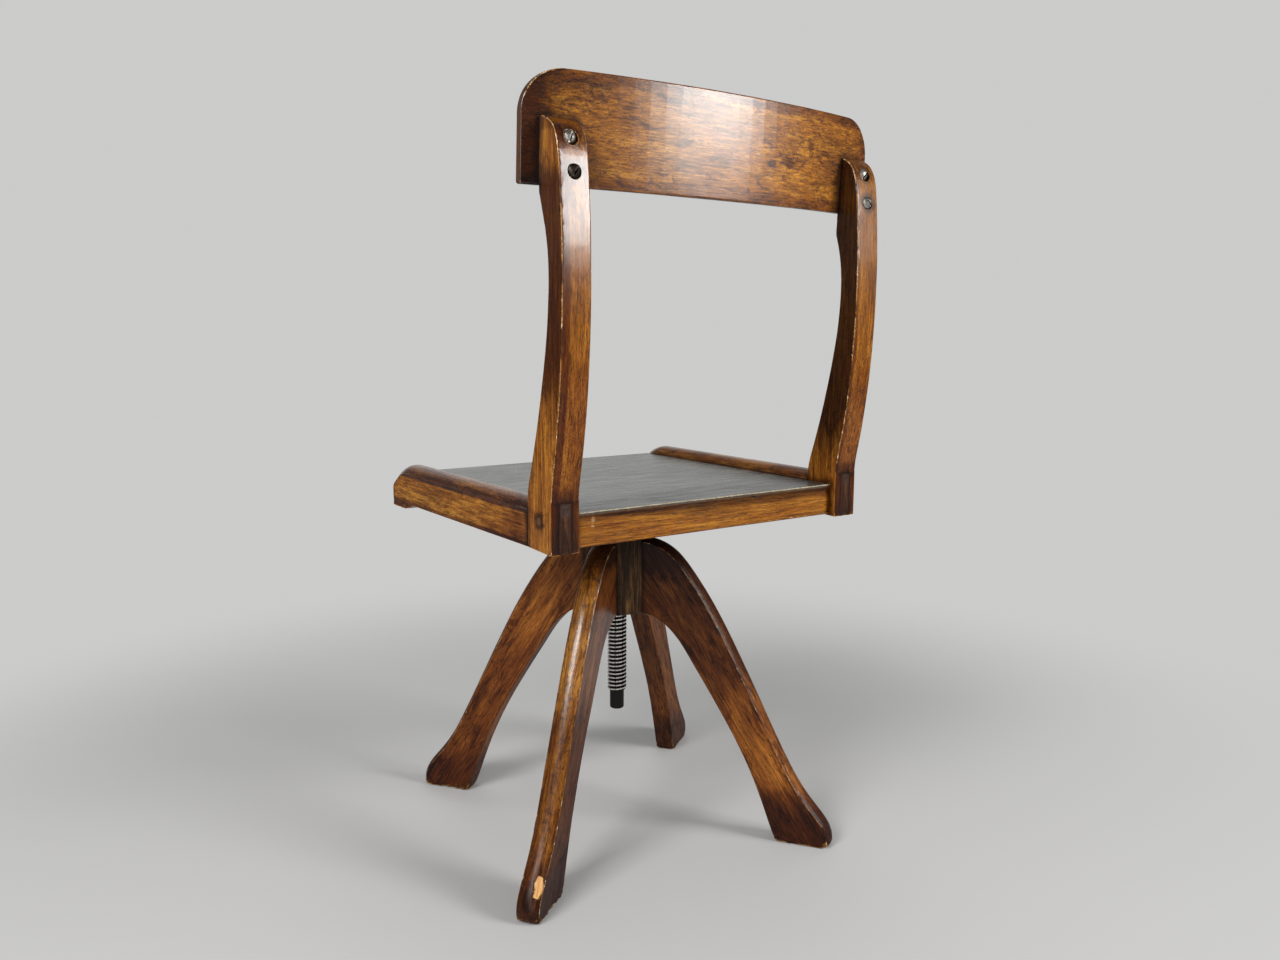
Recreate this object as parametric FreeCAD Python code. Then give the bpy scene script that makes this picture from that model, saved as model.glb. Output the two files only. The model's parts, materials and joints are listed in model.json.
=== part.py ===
import FreeCAD, Part

import math
import os

# Bankers swivel chair: a wooden office chair whose seat turns and rises on a steel screw.
# Frame: millimetres, +Z up, the floor at z = 0, the screw on the Z axis. The sitter looks
# towards -Y, and the chair's left is +X.

V = FreeCAD.Vector
UP = V(0, 0, 1)
MARGIN = 1.0                    # how far a cutting shape stands out of what it cuts
ARC_SHARE = 1 - math.sqrt(0.5)  # how far the middle of a quarter arc lies inside its corner

# ---------------------------------------------------------------- base: hub and legs
hub_bottom_z = 270.0
hub_height = 94.0
hub_across_flats = 74.0
hub_edge = 1.5
base_turn_deg = 36.0            # how far the base is turned under the seat
leg_count = 4
leg_thickness = 27.0
leg_foot_inner_r = 210.0        # heel of the foot on the floor, from the screw
leg_foot_outer_r = 277.0        # toe of the foot
leg_toe_height = 12.0
leg_toe_inset = 8.0
leg_toe_shares = (0.2, 0.3)     # middle of the toe's curve, as shares of its inset and height
leg_crest_rise = 5.0            # how high the crest is arched across the leg's thickness
leg_inner_round = 1.6
# The sawn curves of a leg, as (share of the way out, share of the way up) from root to foot.
leg_inner_shares = ((0.237, 0.917), (0.372, 0.796), (0.734, 0.411), (0.866, 0.227))
leg_crest_shares = (
    (0.149, 0.968), (0.243, 0.904), (0.530, 0.585), (0.725, 0.325), (0.901, 0.138),
)
leg_heel_rake = 0.42            # run of the inner curve for each millimetre of fall at the heel
leg_toe_rake = 0.1
leg_dowel_d = 10.0
leg_dowel_in_hub = 17.0
leg_dowel_in_leg = 32.0
leg_dowel_heights = (22.0, 66.0)    # above the underside of the hub

# ---------------------------------------------------------------- screw, nut and spider
thread_pitch = 5.0
thread_major_d = 24.0
thread_minor_d = 18.5
thread_crest = 1.6
thread_root_width = 3.1
thread_clearance = 0.3          # between the spindle's thread and the nut's
spindle_thread_drop = 107.0     # threaded length that hangs below the hub
spindle_tail_d = 17.8
spindle_tail_length = 23.0
spindle_tail_edge = 2.0
spindle_neck_d = 26.0
spindle_neck_gap = 1.0          # its shoulder stays clear of the nut at the lowest seat
hub_bore_clearance = 1.5        # between the thread and the wood, radially
nut_flange_d = 68.0
nut_flange_thickness = 5.0
nut_flange_edge = 1.5
nut_barrel_d = 36.0
nut_barrel_length = 45.0
nut_screw_circle_d = 53.0
nut_screw_length = 26.0
nut_screw_shank_d = 4.5
nut_screw_head_d = 9.0
washer_d = 40.0
washer_thickness = 3.0
washer_gap = 0.5                # between the washer's bore and the spindle's neck
spider_boss_d = 42.0
spider_boss_height = 23.0
spider_plate_thickness = 5.0
spider_disc_d = 78.0
spider_arm_width = 28.0
spider_screw_offset = 45.0      # of each screw from the screw axis, along X and along Y
spider_rib_thickness = 6.0
spider_rib_reach = 52.0
spider_rib_drop = 15.0
spider_pin_d = 6.0
spider_pin_height = 11.0        # above the underside of the boss
spider_screw_length = 20.0
spider_screw_shank_d = 6.0
spider_screw_head_d = 12.0

# ---------------------------------------------------------------- seat
seat_width = 420.0
rail_thickness = 33.0
rail_height = 48.0
rail_crown_rise = 9.5
crown_overlap = 2.0             # how deep the crown's skin is let into the rail's core
rail_edge = 1.5
rail_front_y = -210.0
nose_top_r = 55.0               # the long arc that rolls the top down to the front
nose_slope_deg = 33.0           # where that arc ends
nose_tip_r = 16.0               # the short arc that ends upright
nose_tip_drop = 33.0
nose_lip_drop = 7.0
nose_lip_corner = 14.0
nose_lip_length = 45.0
nose_cove_length = 33.0
cross_rail_thickness = 24.0
front_rail_y = -190.0           # its front face
rear_rail_inset = 9.0           # its rear face, forward of the posts' rear faces
board_thickness = 12.0
board_ledge = 12.0
lino_thickness = 3.0
lino_nose_round = 8.0
lino_skirt = 24.0
lino_side_gap = 0.2
bearer_width = 45.0
bearer_thickness = 21.0
bearer_tenon_length = 10.0
bearer_tenon_thickness = 12.0
corner_block_leg = 40.0
corner_block_height = 20.0
corner_block_nose = 5.0
rail_dowel_d = 8.0
rail_dowel_in_rail = 22.0
rail_dowel_in_side = 10.0
rail_dowel_height = 10.5        # above the underside of the rails
rail_dowel_spacing = 12.0       # between the two of a joint
board_screw_length = 28.0
board_screw_shank_d = 4.0
board_screw_head_d = 8.0
board_screw_rows = (-120.0, 0.0, 120.0)
screw_slot_width = 1.2

# ---------------------------------------------------------------- back
post_front_y = 150.0
post_depth = 47.0
post_heel_drop = 2.0
post_round = 2.0
post_straight = 50.0            # upright length at the seat, above the underside of the rails
# The curves of a post above that, as (distance behind its front face, share of the way up).
post_rear_line = ((51.4, 0.082), (68.2, 0.422), (70.4, 0.607), (66.2, 0.857), (52.2, 0.973))
post_front_line = ((5.0, 0.060), (27.7, 0.281), (43.6, 0.537), (40.6, 0.692))
post_beak = (30.0, 0.792)       # the foot of the flat that carries the panel
post_tip_rake = 0.25            # rise of the rear curve for each millimetre forward at the tip
post_beak_rake = 0.3            # run of the front curve for each millimetre of rise at the beak
post_flat_drop = 35.0           # how far the curved flat is cut on below the panel
bridle_thickness = 11.0
bridle_peg_d = 8.0
bridle_peg_height = 29.0
panel_overhang = 18.0           # past the posts' outer faces
panel_height = 106.0
panel_thickness = 9.0
panel_radius = 930.0
panel_lean_deg = 3.4
panel_corner_r = 42.0
panel_foot_r = 2.5
panel_edge = 2.0
panel_seat_depth = 33.0         # its rear face behind the posts' front faces, at their middle
panel_bottom_height = 347.5     # above the underside of the rails
post_tip_rise = 65.0            # the posts' tips above the panel's lower edge
back_screw_rises = (11.0, 42.0)     # above the panel's lower edge
back_screw_head_d = 14.0
back_screw_head_height = 4.6
back_screw_shank_d = 5.0
back_screw_bite = 6.5           # into the panel
back_screw_slot_width = 1.7
back_screw_slot_depth = 1.8
back_screw_pocket_gap = 0.6     # round the head, where it is sunk into the post
back_screw_sink = 0.4           # of the head's upper edge
# How far each slot is turned from level, for the left and the right post, lower pair first.
back_screw_slot_turns = ((60.0, 45.0), (72.0, 125.0))

# ---------------------------------------------------------------- places worked out from sizes
hub_top_z = hub_bottom_z + hub_height
hub_flat_r = hub_across_flats / 2
nut_top_z = hub_top_z + nut_flange_thickness
boss_bottom_z = nut_top_z + washer_thickness
plate_bottom_z = boss_bottom_z + spider_boss_height
rail_bottom_z = plate_bottom_z + spider_plate_thickness
rail_top_z = rail_bottom_z + rail_height
board_bottom_z = rail_bottom_z + bearer_thickness
board_top_z = board_bottom_z + board_thickness
lino_top_z = board_top_z + lino_thickness
half_seat = seat_width / 2
half_inside = half_seat - rail_thickness
rail_mid_x = half_seat - rail_thickness / 2
post_rear_y = post_front_y + post_depth
rear_rail_y = post_rear_y - rear_rail_inset
rear_rail_front_y = rear_rail_y - cross_rail_thickness
front_rail_rear_y = front_rail_y + cross_rail_thickness
thread_bottom_z = hub_bottom_z - spindle_thread_drop
spindle_bottom_z = thread_bottom_z - spindle_tail_length
panel_sag = panel_radius - math.sqrt(panel_radius ** 2 - rail_mid_x ** 2)
panel_rear_y = post_front_y + panel_seat_depth + panel_sag
panel_bottom_z = rail_bottom_z + panel_bottom_height
panel_length = seat_width + 2 * panel_overhang
post_shoulder_z = rail_bottom_z + post_straight
post_tip_z = panel_bottom_z + post_tip_rise
leg_azimuths = [base_turn_deg + k * 360.0 / leg_count for k in range(leg_count)]


# ---------------------------------------------------------------- shape helpers
def box(x0, x1, y0, y1, z0, z1):
    return Part.makeBox(x1 - x0, y1 - y0, z1 - z0, V(x0, y0, z0))


def rod(radius, start, end):
    axis = end - start
    return Part.makeCylinder(radius, axis.Length, start, axis)


def turned(shape, degrees):
    copy = shape.copy()
    copy.rotate(V(0, 0, 0), UP, degrees)
    return copy


def mirrored_x(shape):
    return shape.mirror(V(0, 0, 0), V(1, 0, 0))


def spline(points, start_direction, end_direction):
    """A smooth curve through the points that leaves and arrives in the given directions."""
    curve = Part.BSplineCurve()
    start = V(start_direction).normalize()
    end = V(end_direction).normalize()
    curve.interpolate(Points=points, InitialTangent=start, FinalTangent=end, Scale=False)
    return curve.toShape()


def line(a, b):
    return Part.makeLine(a, b)


def arc(a, middle, b):
    return Part.Arc(a, middle, b).toShape()


def prism(edges, direction):
    return Part.Face(Part.Wire(edges)).extrude(direction)


def edges_near(shape, points):
    """The edges of a shape that pass through any of the points."""
    return [edge for edge in shape.Edges
            if any(edge.distToShape(Part.Vertex(point))[0] < 0.01 for point in points)]


def rounded(shape, radius, lines):
    """The shape with a fillet on each of its edges that runs along one of the lines."""
    middles = [edge.valueAt((edge.FirstParameter + edge.LastParameter) / 2) for edge in lines]
    return shape.makeFillet(radius, edges_near(shape, middles))


def tilted(degrees):
    """The upward direction tilted towards the front."""
    angle = math.radians(degrees)
    return V(0, -math.sin(angle), math.cos(angle))


def corner_mid(centre, radius, degrees):
    angle = math.radians(degrees)
    return V(centre.x, centre.y + radius * math.cos(angle), centre.z + radius * math.sin(angle))


def countersunk_screw(shank_d, head_d, length, slot=True):
    """A slotted wood screw with its head's face at z = 0, pointing down."""
    head_depth = (head_d - shank_d) / 2
    tip = shank_d
    edges = [
        line(V(0, 0, 0), V(head_d / 2, 0, 0)),
        line(V(head_d / 2, 0, 0), V(shank_d / 2, 0, -head_depth)),
        line(V(shank_d / 2, 0, -head_depth), V(shank_d / 2, 0, tip - length)),
        line(V(shank_d / 2, 0, tip - length), V(0, 0, -length)),
        line(V(0, 0, -length), V(0, 0, 0)),
    ]
    solid = Part.Face(Part.Wire(edges)).revolve(V(0, 0, 0), UP, 360)
    if slot:
        half_slot = screw_slot_width / 2
        solid = solid.cut(box(-head_d, head_d, -half_slot, half_slot, -head_depth / 2, MARGIN))
    return solid


def placed(shape, position, flip=False):
    copy = shape.copy()
    if flip:
        copy.rotate(V(0, 0, 0), V(1, 0, 0), 180)
    copy.translate(position)
    return copy


def group(solids):
    return Part.makeCompound(solids)


# ---------------------------------------------------------------- base
def leg_curve(line_points, foot_r, root_z, foot, rake):
    """A sawn curve of a leg, from its root at the hub to a point of its foot."""
    points = [V(hub_flat_r, 0, root_z)]
    for out, up in line_points:
        points.append(V(hub_flat_r + out * (foot_r - hub_flat_r), 0, up * root_z))
    return spline(points + [foot], V(1, 0, 0), V(rake, 0, -1))


def above_crest(crest, toe):
    """What is planed off a leg to arch its crest, swept along the crest and down past the toe."""
    half = leg_thickness / 2
    arch_r = (half ** 2 + leg_crest_rise ** 2) / (2 * leg_crest_rise)
    side = half + MARGIN
    x = hub_flat_r - MARGIN
    low_z = hub_top_z - arch_r + math.sqrt(arch_r ** 2 - side ** 2)
    high_z = hub_top_z + MARGIN
    left, right = V(x, -side, low_z), V(x, side, low_z)
    left_top, right_top = V(x, -side, high_z), V(x, side, high_z)
    section = Part.Wire([
        arc(left, V(x, 0, hub_top_z), right),
        line(right, right_top),
        line(right_top, left_top),
        line(left_top, left),
    ])
    root = V(hub_flat_r, 0, hub_top_z)
    fall = leg_toe_height + MARGIN
    past_toe = toe + V(leg_toe_rake, 0, -1) * fall
    path = Part.Wire([line(V(x, 0, hub_top_z), root), crest, line(toe, past_toe)])
    return path.makePipeShell([section], True, False)


def leg_blank():
    """One leg in the XZ plane, its root against the hub's flat, its foot on the floor."""
    heel = V(leg_foot_inner_r, 0, 0)
    sole_end = V(leg_foot_outer_r - leg_toe_inset, 0, 0)
    toe = V(leg_foot_outer_r, 0, leg_toe_height)
    toe_mid = V(toe.x - leg_toe_inset * leg_toe_shares[0], 0, leg_toe_height * leg_toe_shares[1])
    inner = leg_curve(leg_inner_shares, leg_foot_inner_r, hub_bottom_z, heel, leg_heel_rake)
    crest = leg_curve(leg_crest_shares, leg_foot_outer_r, hub_top_z, toe, leg_toe_rake)
    root = line(V(hub_flat_r, 0, hub_bottom_z), V(hub_flat_r, 0, hub_top_z))
    outline = [inner, root, crest, arc(toe, toe_mid, sole_end), line(sole_end, heel)]
    shift = V(0, -leg_thickness / 2, 0)
    solid = prism([edge.translated(shift) for edge in outline], V(0, leg_thickness, 0))
    sides = [inner.translated(shift), inner.translated(shift * -1)]
    return rounded(solid, leg_inner_round, sides).cut(above_crest(crest, toe))


def leg_dowel_rods():
    rods = []
    for azimuth in leg_azimuths:
        for height in leg_dowel_heights:
            z = hub_bottom_z + height
            start = V(hub_flat_r - leg_dowel_in_hub, 0, z)
            end = V(hub_flat_r + leg_dowel_in_leg, 0, z)
            rods.append(turned(rod(leg_dowel_d / 2, start, end), azimuth))
    return rods


def nut_screw_places():
    radius = nut_screw_circle_d / 2
    places = []
    for azimuth in leg_azimuths:
        angle = math.radians(azimuth + 180.0 / leg_count)
        places.append(V(radius * math.cos(angle), radius * math.sin(angle), nut_top_z))
    return places


def nut_screws():
    screw = countersunk_screw(nut_screw_shank_d, nut_screw_head_d, nut_screw_length)
    return [placed(screw, place) for place in nut_screw_places()]


def nut_screw_holes():
    hole = countersunk_screw(nut_screw_shank_d, nut_screw_head_d, nut_screw_length, slot=False)
    return [placed(hole, place) for place in nut_screw_places()]


def make_hub():
    corner_r = hub_flat_r / math.cos(math.pi / (2 * leg_count))
    corners = []
    for k in range(2 * leg_count + 1):
        angle = math.radians(base_turn_deg) + (k + 0.5) * math.pi / leg_count
        corners.append(V(corner_r * math.cos(angle), corner_r * math.sin(angle), hub_bottom_z))
    solid = Part.Face(Part.makePolygon(corners)).extrude(V(0, 0, hub_height))
    rim = [edge for edge in solid.Edges if abs(edge.tangentAt(edge.FirstParameter).z) < 0.01]
    solid = solid.makeChamfer(hub_edge, rim)
    bore_r = thread_major_d / 2 + hub_bore_clearance
    above = V(0, 0, hub_top_z + MARGIN)
    solid = solid.cut(rod(bore_r, V(0, 0, hub_bottom_z - MARGIN), above))
    solid = solid.cut(rod(nut_barrel_d / 2, V(0, 0, hub_top_z - nut_barrel_length), above))
    return solid.cut(leg_dowel_rods() + nut_screw_holes())


def make_legs():
    blank = leg_blank()
    dowels = leg_dowel_rods()
    return [turned(blank, azimuth).cut(dowels) for azimuth in leg_azimuths]


# ---------------------------------------------------------------- screw and nut
def helix_turn(radius, z):
    return Part.makeHelix(thread_pitch, thread_pitch, radius).Edges[0].translated(V(0, 0, z))


def threaded_bar(bottom_z, top_z, swell):
    """A bar whose thread runs past both heights, in step on the spindle and in the nut.

    Each turn is made of ruled strips between helices, and swell makes the bar larger all
    round, for the groove that it runs in."""
    turns_up = math.floor((bottom_z - thread_bottom_z) / thread_pitch) - 2
    turns = math.ceil((top_z - bottom_z) / thread_pitch) + 4
    start_z = thread_bottom_z + turns_up * thread_pitch
    end_z = start_z + turns * thread_pitch
    root_r = thread_minor_d / 2 + swell
    crest_r = thread_major_d / 2 + swell
    half_crest = thread_crest / 2 + swell
    half_root = thread_root_width / 2 + swell
    middle = thread_pitch - thread_root_width / 2
    corners = [(root_r, middle - half_root), (crest_r, middle - half_crest),
               (crest_r, middle + half_crest), (root_r, middle + half_root),
               (root_r, middle - half_root + thread_pitch)]
    faces = []
    for turn in range(turns):
        z = start_z + turn * thread_pitch
        for (r0, z0), (r1, z1) in zip(corners, corners[1:]):
            faces.append(Part.makeRuledSurface(helix_turn(r0, z + z0), helix_turn(r1, z + z1)))
    for z in (start_z, end_z):
        low = z + corners[0][1]
        axis = line(V(0, 0, low), V(0, 0, low + thread_pitch))
        faces.append(Part.makeRuledSurface(axis, helix_turn(root_r, low)))
        step = [V(0, 0, low)] + [V(r, 0, z + h) for r, h in corners]
        step += [V(0, 0, low + thread_pitch), V(0, 0, low)]
        faces.append(Part.Face(Part.makePolygon(step)))
    shell = Part.Shell(faces)
    shell.sewShape()
    return Part.Solid(shell)


def make_spindle():
    neck_z = nut_top_z + spindle_neck_gap
    tail_r = spindle_tail_d / 2
    wide_r = spindle_neck_d / 2
    bevel_top_z = thread_bottom_z + wide_r - tail_r
    envelope = Part.makeCone(tail_r, wide_r, wide_r - tail_r, V(0, 0, thread_bottom_z))
    envelope = envelope.fuse(rod(wide_r, V(0, 0, bevel_top_z), V(0, 0, neck_z)))
    threaded = threaded_bar(thread_bottom_z, neck_z, 0.0).common(envelope.removeSplitter())
    neck = rod(wide_r, V(0, 0, neck_z), V(0, 0, rail_bottom_z))
    tail = rod(tail_r, V(0, 0, spindle_bottom_z), V(0, 0, thread_bottom_z))
    tail_end = [edge for edge in tail.Edges if edge.BoundBox.ZMax < spindle_bottom_z + 0.01]
    tail = tail.makeFillet(spindle_tail_edge, tail_end)
    return threaded.fuse([neck, tail]).cut(spider_pin_rod())


def make_nut():
    flange = rod(nut_flange_d / 2, V(0, 0, hub_top_z), V(0, 0, nut_top_z))
    rim = [edge for edge in flange.Edges if edge.BoundBox.ZMin > nut_top_z - 0.01]
    flange = flange.makeFillet(nut_flange_edge, rim)
    barrel_bottom_z = hub_top_z - nut_barrel_length
    solid = flange.fuse(rod(nut_barrel_d / 2, V(0, 0, barrel_bottom_z), V(0, 0, hub_top_z)))
    groove = threaded_bar(barrel_bottom_z, nut_top_z, thread_clearance)
    return solid.cut([groove] + nut_screw_holes())


def make_washer():
    low = V(0, 0, nut_top_z)
    high = V(0, 0, boss_bottom_z)
    return rod(washer_d / 2, low, high).cut(rod(spindle_neck_d / 2 + washer_gap, low, high))


def spider_pin_rod():
    z = boss_bottom_z + spider_pin_height
    reach = spider_boss_d / 2
    return rod(spider_pin_d / 2, V(-reach, 0, z), V(reach, 0, z))


def spider_screw_places():
    step = spider_screw_offset
    return [V(x, y, plate_bottom_z) for x in (-step, step) for y in (-step, step)]


def spider_screws(slot=True):
    screw = countersunk_screw(spider_screw_shank_d, spider_screw_head_d, spider_screw_length, slot)
    return [placed(screw, place, flip=True) for place in spider_screw_places()]


def make_spider():
    plate = rod(spider_disc_d / 2, V(0, 0, plate_bottom_z), V(0, 0, rail_bottom_z))
    boss = rod(spider_boss_d / 2, V(0, 0, boss_bottom_z), V(0, 0, rail_bottom_z))
    half_arm = spider_arm_width / 2
    arm_r = spider_screw_offset * math.sqrt(2)
    arm = box(0, arm_r, -half_arm, half_arm, plate_bottom_z, rail_bottom_z)
    arm = arm.fuse(rod(half_arm, V(arm_r, 0, plate_bottom_z), V(arm_r, 0, rail_bottom_z)))
    half_rib = spider_rib_thickness / 2
    low = V(0, -half_rib, plate_bottom_z - spider_rib_drop)
    boss_edge = V(spider_boss_d / 2, -half_rib, plate_bottom_z - spider_rib_drop)
    rib_end = V(spider_rib_reach, -half_rib, plate_bottom_z)
    top = V(0, -half_rib, plate_bottom_z)
    rib = prism([line(low, boss_edge), line(boss_edge, rib_end), line(rib_end, top),
                 line(top, low)], V(0, spider_rib_thickness, 0))
    pieces = [boss]
    for k in range(4):
        azimuth = 45.0 + 90.0 * k
        pieces.append(turned(arm, azimuth))
        pieces.append(turned(rib, azimuth))
    solid = plate.fuse(pieces).removeSplitter()
    bore = rod(spindle_neck_d / 2, V(0, 0, boss_bottom_z - MARGIN), V(0, 0, rail_bottom_z + MARGIN))
    return solid.cut([bore, spider_pin_rod()] + spider_screws(slot=False))


# ---------------------------------------------------------------- seat
def rail_dowel_rods(rail_y):
    rods = []
    z = rail_bottom_z + rail_dowel_height
    for side in (-1, 1):
        for y in (rail_y - rail_dowel_spacing / 2, rail_y + rail_dowel_spacing / 2):
            start = V(side * (half_inside - rail_dowel_in_rail), y, z)
            end = V(side * (half_inside + rail_dowel_in_side), y, z)
            rods.append(rod(rail_dowel_d / 2, start, end))
    return rods


def front_dowels():
    return rail_dowel_rods(front_rail_y + cross_rail_thickness / 2)


def rear_dowels():
    return rail_dowel_rods(rear_rail_y - cross_rail_thickness / 2)


def bridle_peg():
    z = rail_bottom_z + bridle_peg_height
    y = post_front_y + post_depth / 2
    return rod(bridle_peg_d / 2, V(half_inside, y, z), V(half_seat, y, z))


def nose_path(x, inset, low_z):
    """The crown line of a side rail, from the post over the rolled front and down to low_z.

    inset moves the line into the wood, at right angles to itself."""
    slope = math.radians(nose_slope_deg)
    outward = V(0, -math.sin(slope), math.cos(slope))
    tip_centre = V(x, rail_front_y + nose_tip_r, rail_top_z - nose_tip_drop)
    slope_end = tip_centre + outward * (nose_tip_r - inset)
    top_r = nose_top_r - inset
    top_centre_z = rail_top_z - nose_top_r
    rise = slope_end.z - top_centre_z
    top_centre_y = slope_end.y + (top_r - rise * math.cos(slope)) / math.sin(slope)
    top_centre = V(x, top_centre_y, top_centre_z)
    tip_turn = (90 + nose_slope_deg) / 2
    tip_end = tip_centre + V(0, inset - nose_tip_r, 0)
    top_start = top_centre + V(0, 0, top_r)
    return [
        line(V(x, post_front_y, top_start.z), top_start),
        arc(top_start, top_centre + tilted(nose_slope_deg / 2) * top_r, top_centre + outward * top_r),
        line(top_centre + outward * top_r, slope_end),
        arc(slope_end, tip_centre + tilted(tip_turn) * (nose_tip_r - inset), tip_end),
        line(tip_end, V(x, tip_end.y, low_z)),
    ]


def rail_underside(low_z):
    """The space under a side rail, with the lip and the cove below its rolled front."""
    x = half_inside - MARGIN
    lip_z = rail_bottom_z - nose_lip_drop
    corner = nose_lip_corner
    front = V(x, rail_front_y - MARGIN, lip_z + corner)
    lip_start = V(x, front.y + corner, lip_z)
    middle = front + V(0, corner, 0) - tilted(-45) * corner
    lip_end = V(x, rail_front_y + nose_lip_length, lip_z)
    cove_mid = V(x, lip_end.y + nose_cove_length / 2, lip_z + nose_lip_drop / 2)
    cove_end = V(x, lip_end.y + nose_cove_length, rail_bottom_z)
    rear = V(x, post_front_y + MARGIN, rail_bottom_z)
    edges = [
        arc(front, middle, lip_start),
        line(lip_start, lip_end),
        spline([lip_end, cove_mid, cove_end], V(0, 1, 0), V(0, 1, 0)),
        line(cove_end, rear),
        line(rear, V(x, rear.y, low_z)),
        line(V(x, rear.y, low_z), V(x, front.y, low_z)),
        line(V(x, front.y, low_z), front),
    ]
    return prism(edges, V(rail_thickness + 2 * MARGIN, 0, 0))


def rail_crown(low_z):
    """The arched skin of a side rail, swept along the top and down the rolled front."""
    depth = rail_crown_rise + crown_overlap
    y = post_front_y
    inner = V(half_inside, y, rail_top_z - rail_crown_rise)
    outer = V(half_seat, y, rail_top_z - rail_crown_rise)
    inner_low = V(half_inside, y, rail_top_z - depth)
    outer_low = V(half_seat, y, rail_top_z - depth)
    section = Part.Wire([
        arc(inner, V(rail_mid_x, y, rail_top_z), outer),
        line(outer, outer_low),
        line(outer_low, inner_low),
        line(inner_low, inner),
    ])
    path = Part.Wire(nose_path(rail_mid_x, 0.0, low_z))
    return path.makePipeShell([section], True, False)


def make_side_rail():
    """The left side rail: a crowned rail with a rolled front end and a bridle tenon behind."""
    low_z = rail_bottom_z - nose_lip_drop - MARGIN
    core = nose_path(half_inside, rail_crown_rise, low_z)
    front_low = core[-1].Vertexes[-1].Point
    rear_low = V(half_inside, post_front_y, low_z)
    core.append(line(front_low, rear_low))
    core.append(line(rear_low, core[0].Vertexes[0].Point))
    solid = prism(core, V(rail_thickness, 0, 0)).fuse(rail_crown(low_z))
    solid = solid.cut(rail_underside(low_z - MARGIN)).removeSplitter()
    half_tenon = bridle_thickness / 2
    tenon = box(rail_mid_x - half_tenon, rail_mid_x + half_tenon, post_front_y, post_rear_y,
                rail_bottom_z - post_heel_drop, rail_top_z)
    solid = solid.fuse(tenon.common(post_blank())).removeSplitter()
    return solid.cut(front_dowels() + [bridle_peg()])


def bearer_boxes(side):
    x = side * spider_screw_offset
    half = bearer_width / 2
    middle_z = rail_bottom_z + bearer_thickness / 2
    half_tenon = bearer_tenon_thickness / 2
    body = box(x - half, x + half, front_rail_rear_y, rear_rail_front_y,
               rail_bottom_z, board_bottom_z)
    tenon = box(x - half, x + half, front_rail_rear_y - bearer_tenon_length,
                rear_rail_front_y + bearer_tenon_length,
                middle_z - half_tenon, middle_z + half_tenon)
    return body.fuse(tenon).removeSplitter()


def make_bearer(side):
    return bearer_boxes(side).cut(spider_screws(slot=False) + board_screws(slot=False))


def make_front_rail():
    solid = box(-half_inside, half_inside, front_rail_y, front_rail_rear_y,
                rail_bottom_z, board_top_z)
    nose = edges_near(solid, [V(0, front_rail_y, board_top_z)])
    solid = solid.makeFillet(lino_nose_round, nose)
    reach = half_inside + MARGIN
    ledge = box(-reach, reach, front_rail_rear_y - board_ledge, front_rail_rear_y + MARGIN,
                board_bottom_z, board_top_z + MARGIN)
    return solid.cut([ledge, bearer_boxes(-1), bearer_boxes(1)] + front_dowels())


def make_rear_rail():
    solid = box(-half_inside, half_inside, rear_rail_front_y, rear_rail_y,
                rail_bottom_z, board_top_z)
    low = edges_near(solid, [V(0, rear_rail_y, rail_bottom_z)])
    solid = solid.makeChamfer(rail_edge, low)
    reach = half_inside + MARGIN
    ledge = box(-reach, reach, rear_rail_front_y - MARGIN, rear_rail_front_y + board_ledge,
                board_bottom_z, board_top_z + MARGIN)
    return solid.cut([ledge, bearer_boxes(-1), bearer_boxes(1)] + rear_dowels())


def board_screws(slot=True):
    screw = countersunk_screw(board_screw_shank_d, board_screw_head_d, board_screw_length, slot)
    return [placed(screw, V(x, y, board_top_z)) for y in board_screw_rows
            for x in (-spider_screw_offset, spider_screw_offset)]


def make_seat_board():
    solid = box(-half_inside, half_inside, front_rail_rear_y - board_ledge,
                rear_rail_front_y + board_ledge, board_bottom_z, board_top_z)
    return solid.cut(board_screws(slot=False))


def make_lino():
    """The seat's linoleum, flat on the board and rolled down over the front rail."""
    x = -half_inside + lino_side_gap
    inner_r = lino_nose_round
    outer_r = inner_r + lino_thickness
    centre = V(x, front_rail_y + inner_r, board_top_z - inner_r)
    skirt_z = lino_top_z - lino_skirt
    rear_low = V(x, rear_rail_y, board_top_z)
    rear_high = V(x, rear_rail_y, lino_top_z)
    outer_top = V(x, centre.y, lino_top_z)
    inner_top = V(x, centre.y, board_top_z)
    outer_front = V(x, front_rail_y - lino_thickness, centre.z)
    inner_front = V(x, front_rail_y, centre.z)
    outer_skirt = V(x, outer_front.y, skirt_z)
    inner_skirt = V(x, inner_front.y, skirt_z)
    edges = [
        line(rear_low, rear_high),
        line(rear_high, outer_top),
        arc(outer_top, corner_mid(centre, outer_r, 135), outer_front),
        line(outer_front, outer_skirt),
        line(outer_skirt, inner_skirt),
        line(inner_skirt, inner_front),
        arc(inner_front, corner_mid(centre, inner_r, 135), inner_top),
        line(inner_top, rear_low),
    ]
    return prism(edges, V(2 * (half_inside - lino_side_gap), 0, 0))


def make_corner_block(side, rail_face_y, inward):
    """A glue block in one corner of the seat frame, its nose clear of the corner."""
    leg = corner_block_leg
    nose = corner_block_nose
    corner_x = side * half_inside
    z = rail_bottom_z
    points = [
        V(corner_x, rail_face_y + inward * nose, z),
        V(corner_x, rail_face_y + inward * leg, z),
        V(corner_x - side * nose, rail_face_y + inward * leg, z),
        V(corner_x - side * leg, rail_face_y + inward * nose, z),
        V(corner_x - side * leg, rail_face_y, z),
        V(corner_x - side * nose, rail_face_y, z),
    ]
    return Part.Face(Part.makePolygon(points + points[:1])).extrude(V(0, 0, corner_block_height))


# ---------------------------------------------------------------- back
def in_panel_place(shape):
    """Move a shape from the panel's own frame, its origin at the rear face's lower middle."""
    copy = shape.copy()
    copy.rotate(V(0, 0, 0), V(1, 0, 0), -panel_lean_deg)
    copy.translate(V(0, panel_rear_y, panel_bottom_z))
    return copy


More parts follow.
